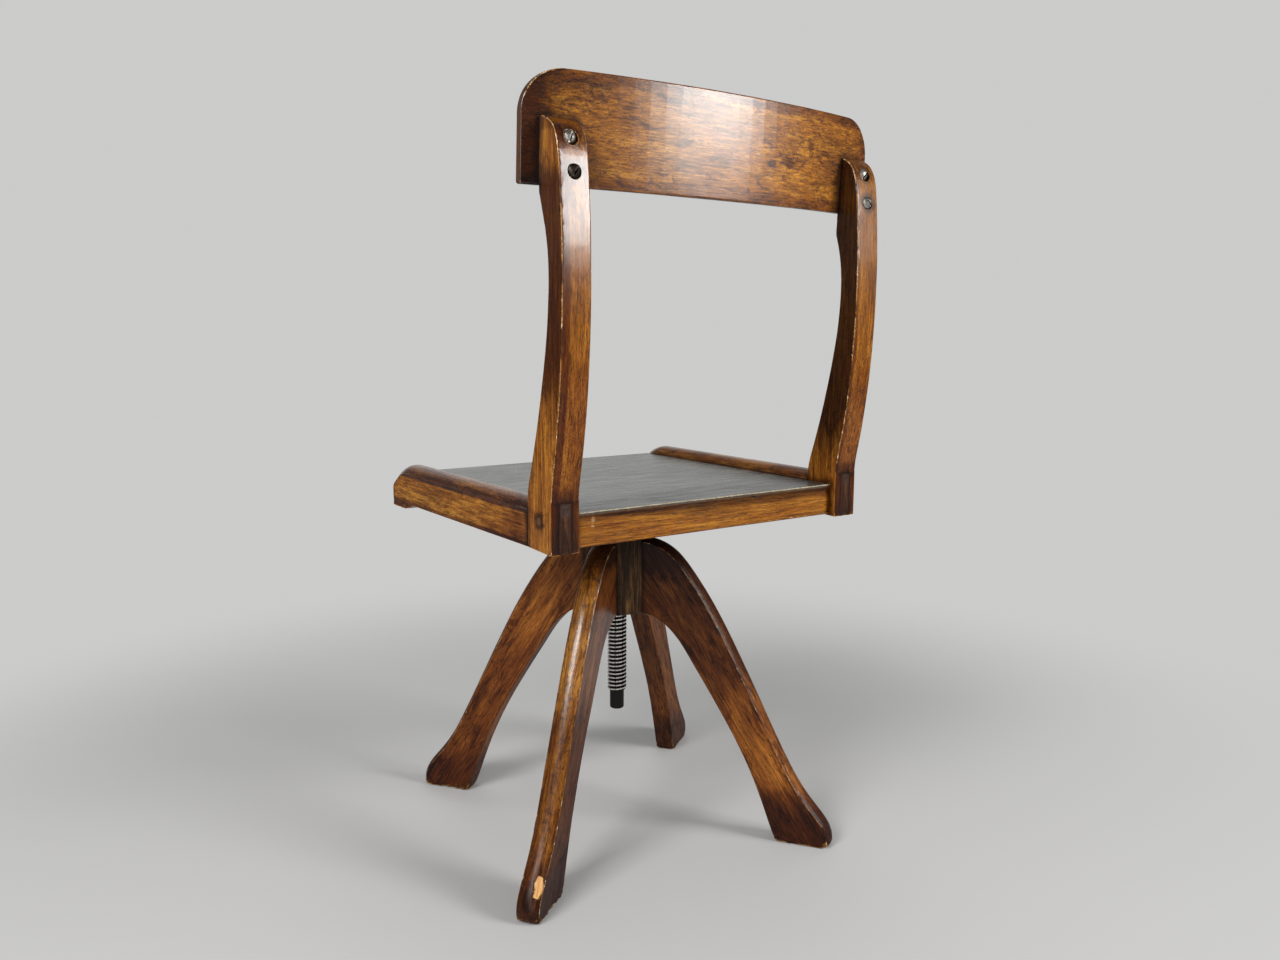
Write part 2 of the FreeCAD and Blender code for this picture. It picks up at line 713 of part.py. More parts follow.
def curved_slab(thickness, half_width, height):
    """A slab in the panel's own frame between its rear cylinder and one further forward."""
    angle = math.asin(half_width / panel_radius)

    def on_arc(radius, turn):
        return V(radius * math.sin(turn), radius * math.cos(turn) - panel_radius, 0)

    front_r = panel_radius - thickness
    edges = [
        arc(on_arc(panel_radius, -angle), on_arc(panel_radius, 0), on_arc(panel_radius, angle)),
        line(on_arc(panel_radius, angle), on_arc(front_r, angle)),
        arc(on_arc(front_r, angle), on_arc(front_r, 0), on_arc(front_r, -angle)),
        line(on_arc(front_r, -angle), on_arc(panel_radius, -angle)),
    ]
    return prism(edges, V(0, 0, height))


def panel_face(y):
    """The panel's face in the plane at y, with rounded corners."""
    half = panel_length / 2
    top = panel_height
    edges = []
    ends = []
    for side in (1, -1):
        for corner_z, inward, r in ((0, 1, panel_foot_r), (top, -1, panel_corner_r)):
            across = V(side * (half - r), y, corner_z)
            middle = V(side * (half - r * ARC_SHARE), y, corner_z + inward * r * ARC_SHARE)
            upright = V(side * half, y, corner_z + inward * r)
            edges.append(arc(across, middle, upright))
            ends.append((across, upright))
    (foot_a, side_a), (top_a, end_a), (foot_b, side_b), (top_b, end_b) = ends
    edges += [line(foot_a, foot_b), line(side_a, end_a), line(top_a, top_b), line(side_b, end_b)]
    return Part.Face(Part.Wire(Part.__sortEdges__(edges)))


def make_panel():
    slab = curved_slab(panel_thickness, panel_length / 2 + panel_thickness, panel_height)
    solid = slab.common(panel_face(MARGIN).extrude(V(0, -panel_radius, 0)))
    large = max(face.Area for face in solid.Faces) / 2
    rim = [edge for face in solid.Faces if face.Area > large for edge in face.Edges]
    solid = solid.makeFillet(panel_edge, rim)
    return in_panel_place(solid).cut(back_screw_holes())


def post_curve(line_points, end, foot_y, end_tangent):
    """A sawn curve of a post, from its straight foot up to a point of its top."""
    rise = post_tip_z - post_shoulder_z
    points = [V(half_inside, foot_y, post_shoulder_z)]
    for back, up in line_points:
        points.append(V(half_inside, post_front_y + back, post_shoulder_z + up * rise))
    return spline(points + [end], UP, end_tangent)


def post_lines():
    """The outline of the left post, from its front foot round its back to its front again."""
    x = half_inside
    rise = post_tip_z - post_shoulder_z
    front_foot = V(x, post_front_y, rail_bottom_z)
    rear_foot = V(x, post_rear_y, rail_bottom_z - post_heel_drop)
    rear_start = V(x, post_rear_y, post_shoulder_z)
    front_start = V(x, post_front_y, post_shoulder_z)
    beak = V(x, post_front_y + post_beak[0], post_shoulder_z + post_beak[1] * rise)
    tip = V(x, beak.y, post_tip_z)
    rear = post_curve(post_rear_line, tip, post_rear_y, V(0, -1, post_tip_rake))
    front = post_curve(post_front_line, beak, post_front_y, V(0, -post_beak_rake, 1))
    return [line(front_foot, rear_foot), line(rear_foot, rear_start), rear, line(tip, beak),
            front, line(front_start, front_foot)]


def post_blank():
    """The left post's sawn outline, full width, before its joints are cut."""
    return prism(post_lines(), V(rail_thickness, 0, 0))


def post_rear_at(z):
    """How far back a post's rear face lies at a height, along Y."""
    level = box(half_inside, half_seat, 0, post_rear_y * 2, z, z + 0.1)
    return post_blank().common(level).BoundBox.YMax


def back_screw_places():
    """For each screw of the left post: where its head sits, and the length of its shank."""
    lean = math.radians(panel_lean_deg)
    axis = V(0, math.cos(lean), -math.sin(lean))
    places = []
    for rise in back_screw_rises:
        z = panel_bottom_z + rise
        seat_y = post_rear_at(z + back_screw_head_d / 2) - back_screw_sink
        panel_y = panel_rear_y - panel_sag + rise * math.tan(lean)
        shank = (seat_y - panel_y) / axis.y + back_screw_bite
        seat = V(rail_mid_x, seat_y, z)
        places.append((FreeCAD.Placement(seat, FreeCAD.Rotation(UP, axis)), shank))
    return places


def back_screw_shank(length):
    tip = back_screw_shank_d
    body = rod(back_screw_shank_d / 2, V(0, 0, tip - length), V(0, 0, 0))
    return body.fuse(Part.makeCone(0, back_screw_shank_d / 2, tip, V(0, 0, -length)))


def back_screw(shank, slot_turn):
    """A round-head screw standing on its tip, its head's seat at z = 0."""
    head_r = back_screw_head_d / 2
    top = back_screw_head_height
    dome_r = (head_r ** 2 + top ** 2) / (2 * top)
    dome = Part.makeSphere(dome_r, V(0, 0, top - dome_r))
    head = dome.common(rod(dome_r, V(0, 0, 0), V(0, 0, top + MARGIN)))
    half_slot = back_screw_slot_width / 2
    slot = box(-dome_r, dome_r, -half_slot, half_slot, top - back_screw_slot_depth, top + MARGIN)
    return turned(head.cut(slot).fuse(back_screw_shank(shank)).removeSplitter(), slot_turn)


def back_screws():
    screws = []
    for (placement, shank), turns in zip(back_screw_places(), back_screw_slot_turns):
        left = back_screw(shank, turns[0])
        right = back_screw(shank, turns[1])
        left.Placement = placement.multiply(left.Placement)
        right.Placement = placement.multiply(right.Placement)
        screws += [left, mirrored_x(right)]
    return screws


def back_screw_holes():
    """Holes for the screws of both posts: shank, point and a pocket for each head."""
    holes = []
    for placement, shank in back_screw_places():
        pocket_r = back_screw_head_d / 2 + back_screw_pocket_gap
        hole = back_screw_shank(shank).fuse(rod(pocket_r, V(0, 0, 0), V(0, 0, post_depth)))
        hole.Placement = placement.multiply(hole.Placement)
        holes += [hole, mirrored_x(hole)]
    return holes


def make_post():
    outline = post_lines()
    across = V(rail_thickness, 0, 0)
    long_edges = [outline[k].translated(shift) for k in (1, 2, 4) for shift in (V(0, 0, 0), across)]
    solid = rounded(post_blank(), post_round, long_edges)
    slab = curved_slab(post_depth, half_seat + post_depth, panel_height + post_flat_drop)
    panel_space = in_panel_place(slab.translated(V(0, 0, -post_flat_drop)))
    half_tenon = bridle_thickness / 2
    slot = box(rail_mid_x - half_tenon, rail_mid_x + half_tenon, post_front_y - MARGIN,
               post_rear_y + MARGIN, rail_bottom_z - post_heel_drop - MARGIN, rail_top_z)
    return solid.cut([panel_space, slot, bridle_peg()] + rear_dowels() + back_screw_holes())


# ---------------------------------------------------------------- all pieces
def make_all():
    nodes = {"hub": make_hub()}
    for number, leg in enumerate(make_legs(), start=1):
        nodes[f"leg_{number}"] = leg
    nodes["leg_dowels"] = group(leg_dowel_rods())
    nodes["spindle_nut"] = make_nut()
    nodes["nut_screws"] = group(nut_screws())
    nodes["buffer_washer"] = make_washer()
    nodes["spindle"] = make_spindle()
    nodes["seat_spider"] = make_spider()
    nodes["spindle_pin"] = spider_pin_rod()
    nodes["spider_screws"] = group(spider_screws())
    nodes["seat_bearer_left"] = make_bearer(1)
    nodes["seat_bearer_right"] = make_bearer(-1)
    nodes["seat_board"] = make_seat_board()
    nodes["board_screws"] = group(board_screws())
    nodes["seat_linoleum"] = make_lino()
    nodes["front_rail"] = make_front_rail()
    nodes["rear_rail"] = make_rear_rail()
    side_rail = make_side_rail()
    nodes["side_rail_left"] = side_rail
    nodes["side_rail_right"] = mirrored_x(side_rail)
    nodes["front_rail_dowels"] = group(front_dowels())
    nodes["rear_rail_dowels"] = group(rear_dowels())
    for name, side in (("left", 1), ("right", -1)):
        nodes[f"corner_block_front_{name}"] = make_corner_block(side, front_rail_rear_y, 1)
        nodes[f"corner_block_rear_{name}"] = make_corner_block(side, rear_rail_front_y, -1)
    post = make_post()
    nodes["back_post_left"] = post
    nodes["back_post_right"] = mirrored_x(post)
    nodes["bridle_pegs"] = group([bridle_peg(), mirrored_x(bridle_peg())])
    nodes["backrest_panel"] = make_panel()
    nodes["backrest_screws"] = group(back_screws())
    return nodes


os.makedirs("parts", exist_ok=True)
for node_name, node_shape in make_all().items():
    node_shape.exportStep(f"parts/{node_name}.step")
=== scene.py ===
import json
import math

import bpy
import numpy as np
from mathutils import Matrix, Vector, noise
from mathutils.bvhtree import BVHTree


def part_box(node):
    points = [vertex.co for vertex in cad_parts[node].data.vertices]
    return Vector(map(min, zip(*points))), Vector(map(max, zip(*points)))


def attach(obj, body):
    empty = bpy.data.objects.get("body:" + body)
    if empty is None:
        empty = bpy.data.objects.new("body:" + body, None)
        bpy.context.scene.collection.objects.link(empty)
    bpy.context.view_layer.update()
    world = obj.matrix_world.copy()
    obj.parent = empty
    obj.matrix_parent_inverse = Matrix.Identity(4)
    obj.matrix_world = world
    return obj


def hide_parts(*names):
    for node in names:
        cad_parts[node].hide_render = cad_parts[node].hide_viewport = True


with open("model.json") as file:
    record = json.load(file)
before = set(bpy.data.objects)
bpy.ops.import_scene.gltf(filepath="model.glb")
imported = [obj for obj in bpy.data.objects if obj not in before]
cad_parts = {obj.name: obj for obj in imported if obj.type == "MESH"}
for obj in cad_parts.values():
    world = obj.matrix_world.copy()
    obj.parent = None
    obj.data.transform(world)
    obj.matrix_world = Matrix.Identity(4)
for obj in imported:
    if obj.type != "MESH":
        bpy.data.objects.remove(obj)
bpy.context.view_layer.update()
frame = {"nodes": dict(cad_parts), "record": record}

X = (1.0, 0.0, 0.0)
Y = (0.0, 1.0, 0.0)
Z = (0.0, 0.0, 1.0)


# ---------------------------------------------------------------- camera
PICTURE_WIDTH = 1280
CAMERA_AT = Vector((0.70204, 1.03976, 0.6155))
CAMERA_YAW = -2.1871
CAMERA_PITCH = 0.1450
CAMERA_ROLL = 0.0048
CAMERA_FOCUS = 1026.61          # in pixels of the picture
SENSOR = 36.0


def make_camera():
    """The camera, turned, tipped down and rolled a little."""
    ahead = Vector((
        math.cos(CAMERA_PITCH) * math.cos(CAMERA_YAW),
        math.cos(CAMERA_PITCH) * math.sin(CAMERA_YAW),
        -math.sin(CAMERA_PITCH),
    ))
    level = ahead.cross(Vector((0, 0, 1))).normalized()
    upright = level.cross(ahead)
    right = math.cos(CAMERA_ROLL) * level + math.sin(CAMERA_ROLL) * upright
    up = -math.sin(CAMERA_ROLL) * level + math.cos(CAMERA_ROLL) * upright
    data = bpy.data.cameras.new("camera")
    data.sensor_width = SENSOR
    data.lens = SENSOR * CAMERA_FOCUS / PICTURE_WIDTH
    data.clip_start = 0.05
    data.clip_end = 100.0
    camera = bpy.data.objects.new("camera", data)
    turn = Matrix((right, up, -ahead)).transposed().to_4x4()
    camera.matrix_world = Matrix.Translation(CAMERA_AT) @ turn
    bpy.context.scene.collection.objects.link(camera)
    bpy.context.scene.camera = camera


# ---------------------------------------------------------------- light
# Each softbox: the place that it faces, its azimuth and elevation from there in degrees, its
# distance and side in metres, its power in watts, and its colour.
SOFTBOXES = {
    "softbox_right": ((0.0, 0.20, 0.80), 125, 14.5, 2.6, 0.95, 68, (1.0, 0.99, 0.97)),
    "softbox_left": ((0.12, 0.09, 0.30), 17, 38, 2.5, 0.95, 47, (1.0, 0.985, 0.96)),
    "softbox_front": ((0.0, 0.0, 0.35), 42, 7, 2.9, 1.30, 20, (1.0, 0.99, 0.98)),
    "softbox_top": ((0.0, 0.0, 0.55), -125, 62, 2.6, 1.4, 11, (0.97, 0.985, 1.0)),
}


def softbox(name, aim, azimuth, elevation, distance, side, power, colour):
    """A square studio softbox that faces a place on the chair."""
    data = bpy.data.lights.new(name, "AREA")
    data.shape = "SQUARE"
    data.size = side
    data.energy = power
    data.color = colour
    lamp = bpy.data.objects.new(name, data)
    a = math.radians(azimuth)
    e = math.radians(elevation)
    away = Vector((math.cos(a) * math.cos(e), math.sin(a) * math.cos(e), math.sin(e)))
    lamp.location = Vector(aim) + away * distance
    lamp.rotation_mode = "QUATERNION"
    lamp.rotation_quaternion = away.to_track_quat("Z", "Y")
    bpy.context.scene.collection.objects.link(lamp)


def make_lights():
    """Plain soft studio light."""
    for name, settings in SOFTBOXES.items():
        softbox(name, *settings)


# ---------------------------------------------------------------- nodes
class Graph:
    """The nodes of one material, or of the world."""

    def __init__(self, name="", tree=None):
        if tree is None:
            self.material = bpy.data.materials.new(name)
            self.material.use_nodes = True
            tree = self.material.node_tree
        self.nodes = tree.nodes
        self.links = tree.links
        self.nodes.clear()

    def feed(self, socket, value):
        if isinstance(value, bpy.types.NodeSocket):
            self.links.new(value, socket)
        else:
            socket.default_value = value

    def add(self, kind, values=None, **settings):
        node = self.nodes.new("ShaderNode" + kind)
        for key, value in settings.items():
            setattr(node, key, value)
        for key, value in (values or {}).items():
            self.feed(node.inputs[key], value)
        return node

    def math(self, operation, a, b=0.0):
        return self.add("Math", {0: a, 1: b}, operation=operation).outputs[0]

    def plus(self, a, b):
        return self.math("ADD", a, b)

    def minus(self, a, b):
        return self.math("SUBTRACT", a, b)

    def times(self, a, b):
        return self.math("MULTIPLY", a, b)

    def larger(self, a, b):
        return self.math("MAXIMUM", a, b)

    def size(self, a):
        return self.math("ABSOLUTE", a)

    def dot(self, a, b):
        return self.add("VectorMath", {0: a, 1: b}, operation="DOT_PRODUCT").outputs["Value"]

    def vector(self, x, y, z):
        return self.add("CombineXYZ", {0: x, 1: y, 2: z}).outputs[0]

    def length(self, a):
        return self.add("VectorMath", {0: a}, operation="LENGTH").outputs["Value"]

    def object_place(self):
        return self.add("TexCoord").outputs["Object"]

    def ease(self, value, low, high):
        """0 below low and 1 above high, smoothly between. It falls where low is the larger."""
        values = {"Value": value, "From Min": low, "From Max": high}
        if low > high:
            values = {"Value": value, "From Min": high, "From Max": low,
                      "To Min": 1.0, "To Max": 0.0}
        return self.add("MapRange", values, interpolation_type="SMOOTHSTEP").outputs["Result"]

    def band(self, value, start, full, fade, end):
        """1 from full to fade, and 0 before start and after end."""
        return self.times(self.ease(value, start, full), self.ease(value, end, fade))

    def noise(self, place, detail, rough, warp=0.0):
        values = {"Vector": place, "Scale": 1.0, "Detail": detail, "Roughness": rough,
                  "Distortion": warp}
        return self.add("TexNoise", values, normalize=True).outputs[0]

    def fine_noise(self, place, scale, detail, rough, warp=0.0):
        """Noise that is alike in all directions."""
        place = self.add("VectorMath", {0: place, 3: scale}, operation="SCALE").outputs[0]
        return self.noise(place, detail, rough, warp)

    def long_noise(self, place, reach, shift, detail, rough, warp):
        """Noise whose features are so many millimetres long on each axis."""
        scale = tuple(1000 / size for size in reach)
        moved = self.add("VectorMath", {0: place, 1: scale, 2: shift}, operation="MULTIPLY_ADD")
        return self.noise(moved.outputs[0], detail, rough, warp)

    def mix(self, share, a, b, blend="MIX"):
        values = {0: share, 6: a, 7: b}
        return self.add("Mix", values, data_type="RGBA", blend_type=blend).outputs[2]

    def blend(self, share, a, b):
        return self.add("Mix", {0: share, 2: a, 3: b}, data_type="FLOAT").outputs[0]

    def attribute(self, name):
        return self.add("Attribute", attribute_name=name).outputs["Fac"]

    def finish(self, colour, roughness, height, relief, **others):
        """The surface shader. relief is the height's full depth in metres."""
        bump = self.add("Bump", {"Height": height, "Distance": relief, "Strength": 1.0})
        values = {"Base Color": colour, "Roughness": roughness, "Normal": bump.outputs[0]}
        shader = self.add("BsdfPrincipled", values)
        for key, value in others.items():
            self.feed(shader.inputs[key.replace("_", " ")], value)
        self.add("OutputMaterial", {"Surface": shader.outputs[0]})
        return self.material


def grey(value):
    return (value, value, value, 1.0)


def tint(colour):
    return (*colour, 1.0)


# ---------------------------------------------------------------- room
ROOM = (0.60, 0.60, 0.595, 1.0)     # what the room looks like behind the chair
WALL_WAY = (-0.45, -0.89, 0.0)      # the way to the lit wall that polished faces mirror
WALL_SIDES = (0.72, 0.94)       # where its sides fade in, as cosines from that way
WALL_TOP = (0.85, 0.55)         # where its top fades in, as sines of the elevation
MIRRORED = 0.10                 # how bright the rest of the room is in a mirror
FILL = (0.97, 0.985, 1.0, 1.0)
FILL_STRENGTH = 0.25


def make_world():
    """An even room for light, plain where it is seen, and a lit wall where it is mirrored."""
    world = bpy.data.worlds.new("room")
    world.use_nodes = True
    g = Graph(tree=world.node_tree)
    path = g.add("LightPath").outputs
    way = g.add("TexCoord").outputs["Generated"]
    wall = g.times(g.ease(g.dot(way, WALL_WAY), *WALL_SIDES), g.ease(g.dot(way, Z), *WALL_TOP))
    mirrored = g.add("Background", {"Color": g.mix(wall, grey(MIRRORED), ROOM)}).outputs[0]
    fill = g.add("Background", {"Color": FILL, "Strength": FILL_STRENGTH}).outputs[0]
    shown = g.add("Background", {"Color": ROOM}).outputs[0]
    glossy = g.larger(path["Is Glossy Ray"], path["Is Transmission Ray"])
    lit = g.add("MixShader", {0: glossy, 1: fill, 2: mirrored}).outputs[0]
    whole = g.add("MixShader", {0: path["Is Camera Ray"], 1: lit, 2: shown}).outputs[0]
    g.add("OutputWorld", {"Surface": whole})
    bpy.context.scene.world = world


# ---------------------------------------------------------------- wood
ORANGE = {"dark": (0.060, 0.017, 0.004), "mid": (0.270, 0.090, 0.010),
          "light": (0.52, 0.230, 0.030)}
AMBER = {"dark": (0.075, 0.022, 0.004), "mid": (0.300, 0.108, 0.011),
         "light": (0.54, 0.250, 0.034)}
RUSSET = {"dark": (0.044, 0.012, 0.004), "mid": (0.225, 0.066, 0.009),
          "light": (0.43, 0.155, 0.024)}
SOOT = {"dark": (0.010, 0.005, 0.003), "mid": (0.034, 0.016, 0.007),
        "light": (0.120, 0.060, 0.020)}
PEG = {"dark": (0.030, 0.012, 0.005), "mid": (0.090, 0.036, 0.012),
       "light": (0.16, 0.070, 0.022)}
RAW = {"dark": (0.20, 0.105, 0.045), "mid": (0.34, 0.195, 0.090),
       "light": (0.46, 0.29, 0.150)}
BARE = (0.66, 0.38, 0.150, 1.0)     # wood where the varnish has chipped off
RUBBED = (0.42, 0.195, 0.050, 1.0)  # an arris rubbed thin
NICKED = (0.74, 0.56, 0.330, 1.0)   # and where it is knocked off
BARE_STREAK = (0.42, 0.22, 0.080, 1.0)
END_GRAIN = (0.094, 0.040, 0.018, 1.0)

# What each kind of mark multiplies the colour by.
STREAK_SHADE = (0.30, 0.23, 0.19, 1.0)
HAIR_SHADE = grey(0.38)
PORE_SHADE = grey(0.14)
BLOTCH_SHADE = (0.25, 0.165, 0.12, 1.0)
CLOUD_SHADE = (0.34, 0.25, 0.20, 1.0)
SPECK_SHADE = (0.12, 0.08, 0.06, 1.0)
# At the joints: dirt, and painted shade where the parts meet.
JOINT_DIRT_AND_SHADE = (0.16, 0.115, 0.095, 1.0)
ARRIS_SHADE = (0.26, 0.18, 0.14, 1.0)

# The noise under each kind of mark: how long and wide its features are in millimetres, then
# its detail, roughness, warp and shift. The figure's length and width are the caller's.
FIGURE_NOISE = (5.0, 0.68, 1.1, 3.1)
WOOD_NOISE = {
    "tone": (190, 36, 4.0, 0.6, 0.6, 0.0),
    "streak": (48, 1.9, 4.0, 0.7, 0.3, 7.7),
    "hair": (15, 0.60, 2.0, 0.6, 0.0, 11.3),
    "pore": (6.0, 0.42, 1.0, 0.5, 0.0, 17.9),
    "blotch": (38, 15, 6.0, 0.74, 1.4, 23.5),
    "speck": (3.6, 2.4, 4.0, 0.78, 0.5, 31.0),
    "cloud": (120, 55, 4.0, 0.62, 0.8, 41.0),
    "line": (150, 5.2, 3.0, 0.55, 0.5, 53.0),
    "dash": (26, 14, 3.0, 0.62, 0.2, 61.0),
    "fleck": (7.0, 4.5, 3.0, 0.65, 0.2, 67.0),
}
MIDDLE = 0.49                   # of the noise that mixes a palette
SPREAD = 0.12                   # from there to the palette's ends
ARRIS = 0.0012                  # how wide a rubbed arris is
WOOD_IOR = 1.20                 # low: the gloss is the coat's


def grain_axes(along, across):
    """The unit directions along, across and through the grain."""
    along = Vector(along).normalized()
    across = (Vector(across) - along * along.dot(Vector(across))).normalized()
    return along, across, along.cross(across)


def wood(name, palette, along, across, seed, stain=0.5, gloss=0.20, coat=0.36, sheen=0.18,
         zones=(), spots=(), relief=0.00026, figured=(62, 6.5), contrast=1.0, rounded=None,
         polished=None):
    """Old varnished wood with its grain along a direction.

    Each zone is (face, axis, start, full, fade, end, colour): it multiplies the colour on
    the faces that look along face, from start to end along the axis. Each spot is (centre,
    reach, colour), and does so round a place. figured is how long and wide the figure's
    patches are in millimetres, and sheen is how rough the topmost varnish is. rounded is
    the axis that the faces look along or across on either side of a rounded arris. polished
    is (coat, start, full): the varnish is better kept higher up, above the height full."""
    g = Graph(name)
    spot = g.object_place()
    facing = g.add("TexCoord").outputs["Normal"]
    axes = grain_axes(along, across)
    place = g.vector(*(g.dot(spot, axis) for axis in axes))

    def fibre(long, wide, detail, rough, warp, shift):
        moved = (seed + shift, seed * 0.7, shift)
        return g.long_noise(place, (long, wide, wide), moved, detail, rough, warp)

    def shade(colour, amount, strength, by):
        return g.mix(g.times(amount, strength), colour, by, "MULTIPLY")

    figure = fibre(*figured, *FIGURE_NOISE)
    tone, streak, hair, pore, blotch, speck, cloud, line, dash, fleck = (
        fibre(*features) for features in WOOD_NOISE.values())

    # The palette mixed by the figure, then the streaks, hairs, pores and cracks of the grain.
    dark, mid, light = (tint(palette[key]) for key in ("dark", "mid", "light"))
    share = g.plus(g.times(tone, 0.45), g.times(figure, 0.55))
    colour = g.mix(g.ease(share, MIDDLE - SPREAD / contrast, MIDDLE), dark, mid)
    colour = g.mix(g.ease(share, MIDDLE - 0.01, MIDDLE + SPREAD / contrast), colour, light)
    colour = g.mix(g.times(g.ease(streak, 0.52, 0.68), 0.60), colour, light)
    colour = shade(colour, g.ease(streak, 0.51, 0.36), 0.72, STREAK_SHADE)
    colour = shade(colour, g.ease(hair, 0.55, 0.38), 0.55, HAIR_SHADE)
    pores = g.ease(pore, 0.40, 0.30)
    colour = shade(colour, pores, 0.80, PORE_SHADE)
    crack = g.ease(g.size(g.minus(line, 0.5)), 0.010, 0.003)
    crack = g.times(crack, g.ease(tone, 0.44, 0.56))
    colour = shade(colour, crack, 0.80, PORE_SHADE)

    # Stains large and small.
    colour = shade(colour, g.ease(blotch, 0.52, 0.62), stain, BLOTCH_SHADE)
    colour = shade(colour, g.ease(cloud, 0.50, 0.64), stain * 0.7, CLOUD_SHADE)
    colour = shade(colour, g.ease(speck, 0.62, 0.68), 0.85, SPECK_SHADE)

    # The zones and spots, whose edges wander.
    wander = g.times(g.minus(blotch, 0.5), 0.9)
    for face, axis, start, full, fade, end, by in zones:
        amount = g.band(g.dot(spot, axis), start, full, fade, end)
        if face:
            amount = g.times(amount, g.ease(g.dot(facing, face), 0.55, 0.85))
        soft = g.times(g.ease(g.plus(amount, wander), 0.1, 0.9), g.ease(amount, 0.0, 0.25))
        colour = g.mix(soft, colour, tint(by), "MULTIPLY")
    for centre, reach, by in spots:
        gap = g.add("VectorMath", {0: spot, 1: centre}, operation="SUBTRACT").outputs[0]
        gap = g.add("VectorMath", {0: gap, 1: tuple(1 / r for r in reach)},
                    operation="MULTIPLY").outputs[0]
        ragged = g.minus(g.plus(g.length(gap), 0.35), g.times(wander, 3.2))
        colour = g.mix(g.ease(ragged, 1.15, 0.55), colour, tint(by), "MULTIPLY")

    # End grain is darker, and the wood darkens near the joints: dirt, and painted shade where
    # the parts meet.
    end_grain = g.ease(g.size(g.dot(facing, axes[0])), 0.86, 0.97)
    colour = g.mix(g.times(end_grain, 0.75), colour, END_GRAIN)
    near = g.attribute("near")
    dirt_and_shade = g.ease(g.plus(near, g.times(blotch, 0.6)), 0.60, 1.20)
    colour = shade(colour, dirt_and_shade, 0.78, JOINT_DIRT_AND_SHADE)

    # Darker beside each arris, and the arris itself rubbed thin and nicked in places.
    worn = g.attribute("worn")
    colour = shade(colour, g.band(worn, 0.04, 0.18, 0.50, 0.90), 0.66, ARRIS_SHADE)
    turned = g.add("Bevel", {"Radius": ARRIS}, samples=6).outputs[0]
    true = g.add("NewGeometry").outputs["Normal"]
    arris = g.ease(g.minus(1.0, g.dot(turned, true)), 0.004, 0.035)
    if rounded:
        arris = g.larger(arris, g.band(g.size(g.dot(facing, rounded)), 0.40, 0.58, 0.78, 0.90))
    arris = g.times(arris, g.ease(worn, 0.04, 0.18))
    arris = g.times(arris, g.ease(near, 0.94, 0.84))
    rubbed = g.times(arris, g.ease(dash, 0.40, 0.52))
    colour = g.mix(g.times(rubbed, 0.75), colour, RUBBED)
    nicked = g.times(arris, g.ease(fleck, 0.57, 0.62))
    nicked = g.times(nicked, g.ease(dash, 0.42, 0.50))
    colour = g.mix(g.times(nicked, 0.90), colour, NICKED)
    bare = g.attribute("bare")
    bare_colour = g.mix(g.ease(streak, 0.35, 0.65), BARE_STREAK, BARE)
    colour = g.mix(g.ease(bare, 0.35, 0.60), colour, bare_colour)

    # Dull where the grain is open or the varnish is gone.
    rough = g.blend(g.ease(blotch, 0.42, 0.66), gloss, gloss + 0.13)
    rough = g.plus(rough, g.times(g.ease(streak, 0.62, 0.38), 0.10))
    rough = g.plus(rough, g.times(g.larger(bare, end_grain), 0.30))
    height = g.times(streak, 0.34)
    for part, depth in ((hair, 0.14), (pores, -0.20), (crack, -0.30), (figure, 0.34),
                        (speck, 0.22)):
        height = g.plus(height, g.times(part, depth))
    if polished:
        kept, start, full = polished
        coat = g.blend(g.ease(g.dot(spot, Z), start, full), coat, kept)
    return g.finish(colour, rough, height, relief, Coat_Weight=coat, Coat_Roughness=sheen,
                    IOR=WOOD_IOR)


# ---------------------------------------------------------------- other materials
# The noise under the linoleum's marks: how far its features reach on X, Y and Z in
# millimetres, then its shift, detail, roughness and warp.
LINO_NOISE = {
    "cloud": ((70, 45, 60), 0.0, 5.0, 0.65, 0.8),
    "brushed": ((75, 3.4, 20), 5.0, 5.0, 0.72, 0.2),
    "fine": ((22, 1.0, 20), 9.0, 3.0, 0.6, 0.0),
    "crossed": ((1.6, 34, 20), 13.0, 4.0, 0.7, 0.3),
    "grain": ((1.4, 1.4, 1.4), 17.0, 3.0, 0.6, 0.0),
    "scuff": ((26, 9, 20), 21.0, 6.0, 0.75, 1.5),
}
LINO_DARK = (0.072, 0.076, 0.070, 1.0)
LINO_LIGHT = (0.140, 0.146, 0.133, 1.0)
LINO_REAR = 0.50                # how much darker it is towards the rear
# Its scratches and scuffs: the noise, where they start and are full, strength and colour.
LINO_MARKS = (
    ("brushed", 0.50, 0.66, 0.45, (0.19, 0.192, 0.180)),
    ("brushed", 0.46, 0.34, 0.40, (0.036, 0.037, 0.034)),
    ("fine", 0.57, 0.66, 0.40, (0.26, 0.26, 0.245)),
    ("crossed", 0.66, 0.74, 0.35, (0.20, 0.20, 0.19)),
    ("scuff", 0.60, 0.70, 0.55, (0.020, 0.020, 0.018)),
)
JUTE_DARK = (0.24, 0.19, 0.115, 1.0)
JUTE_LIGHT = (0.50, 0.43, 0.30, 1.0)
JUTE_LOWER = (0.050, 0.036, 0.024, 1.0)


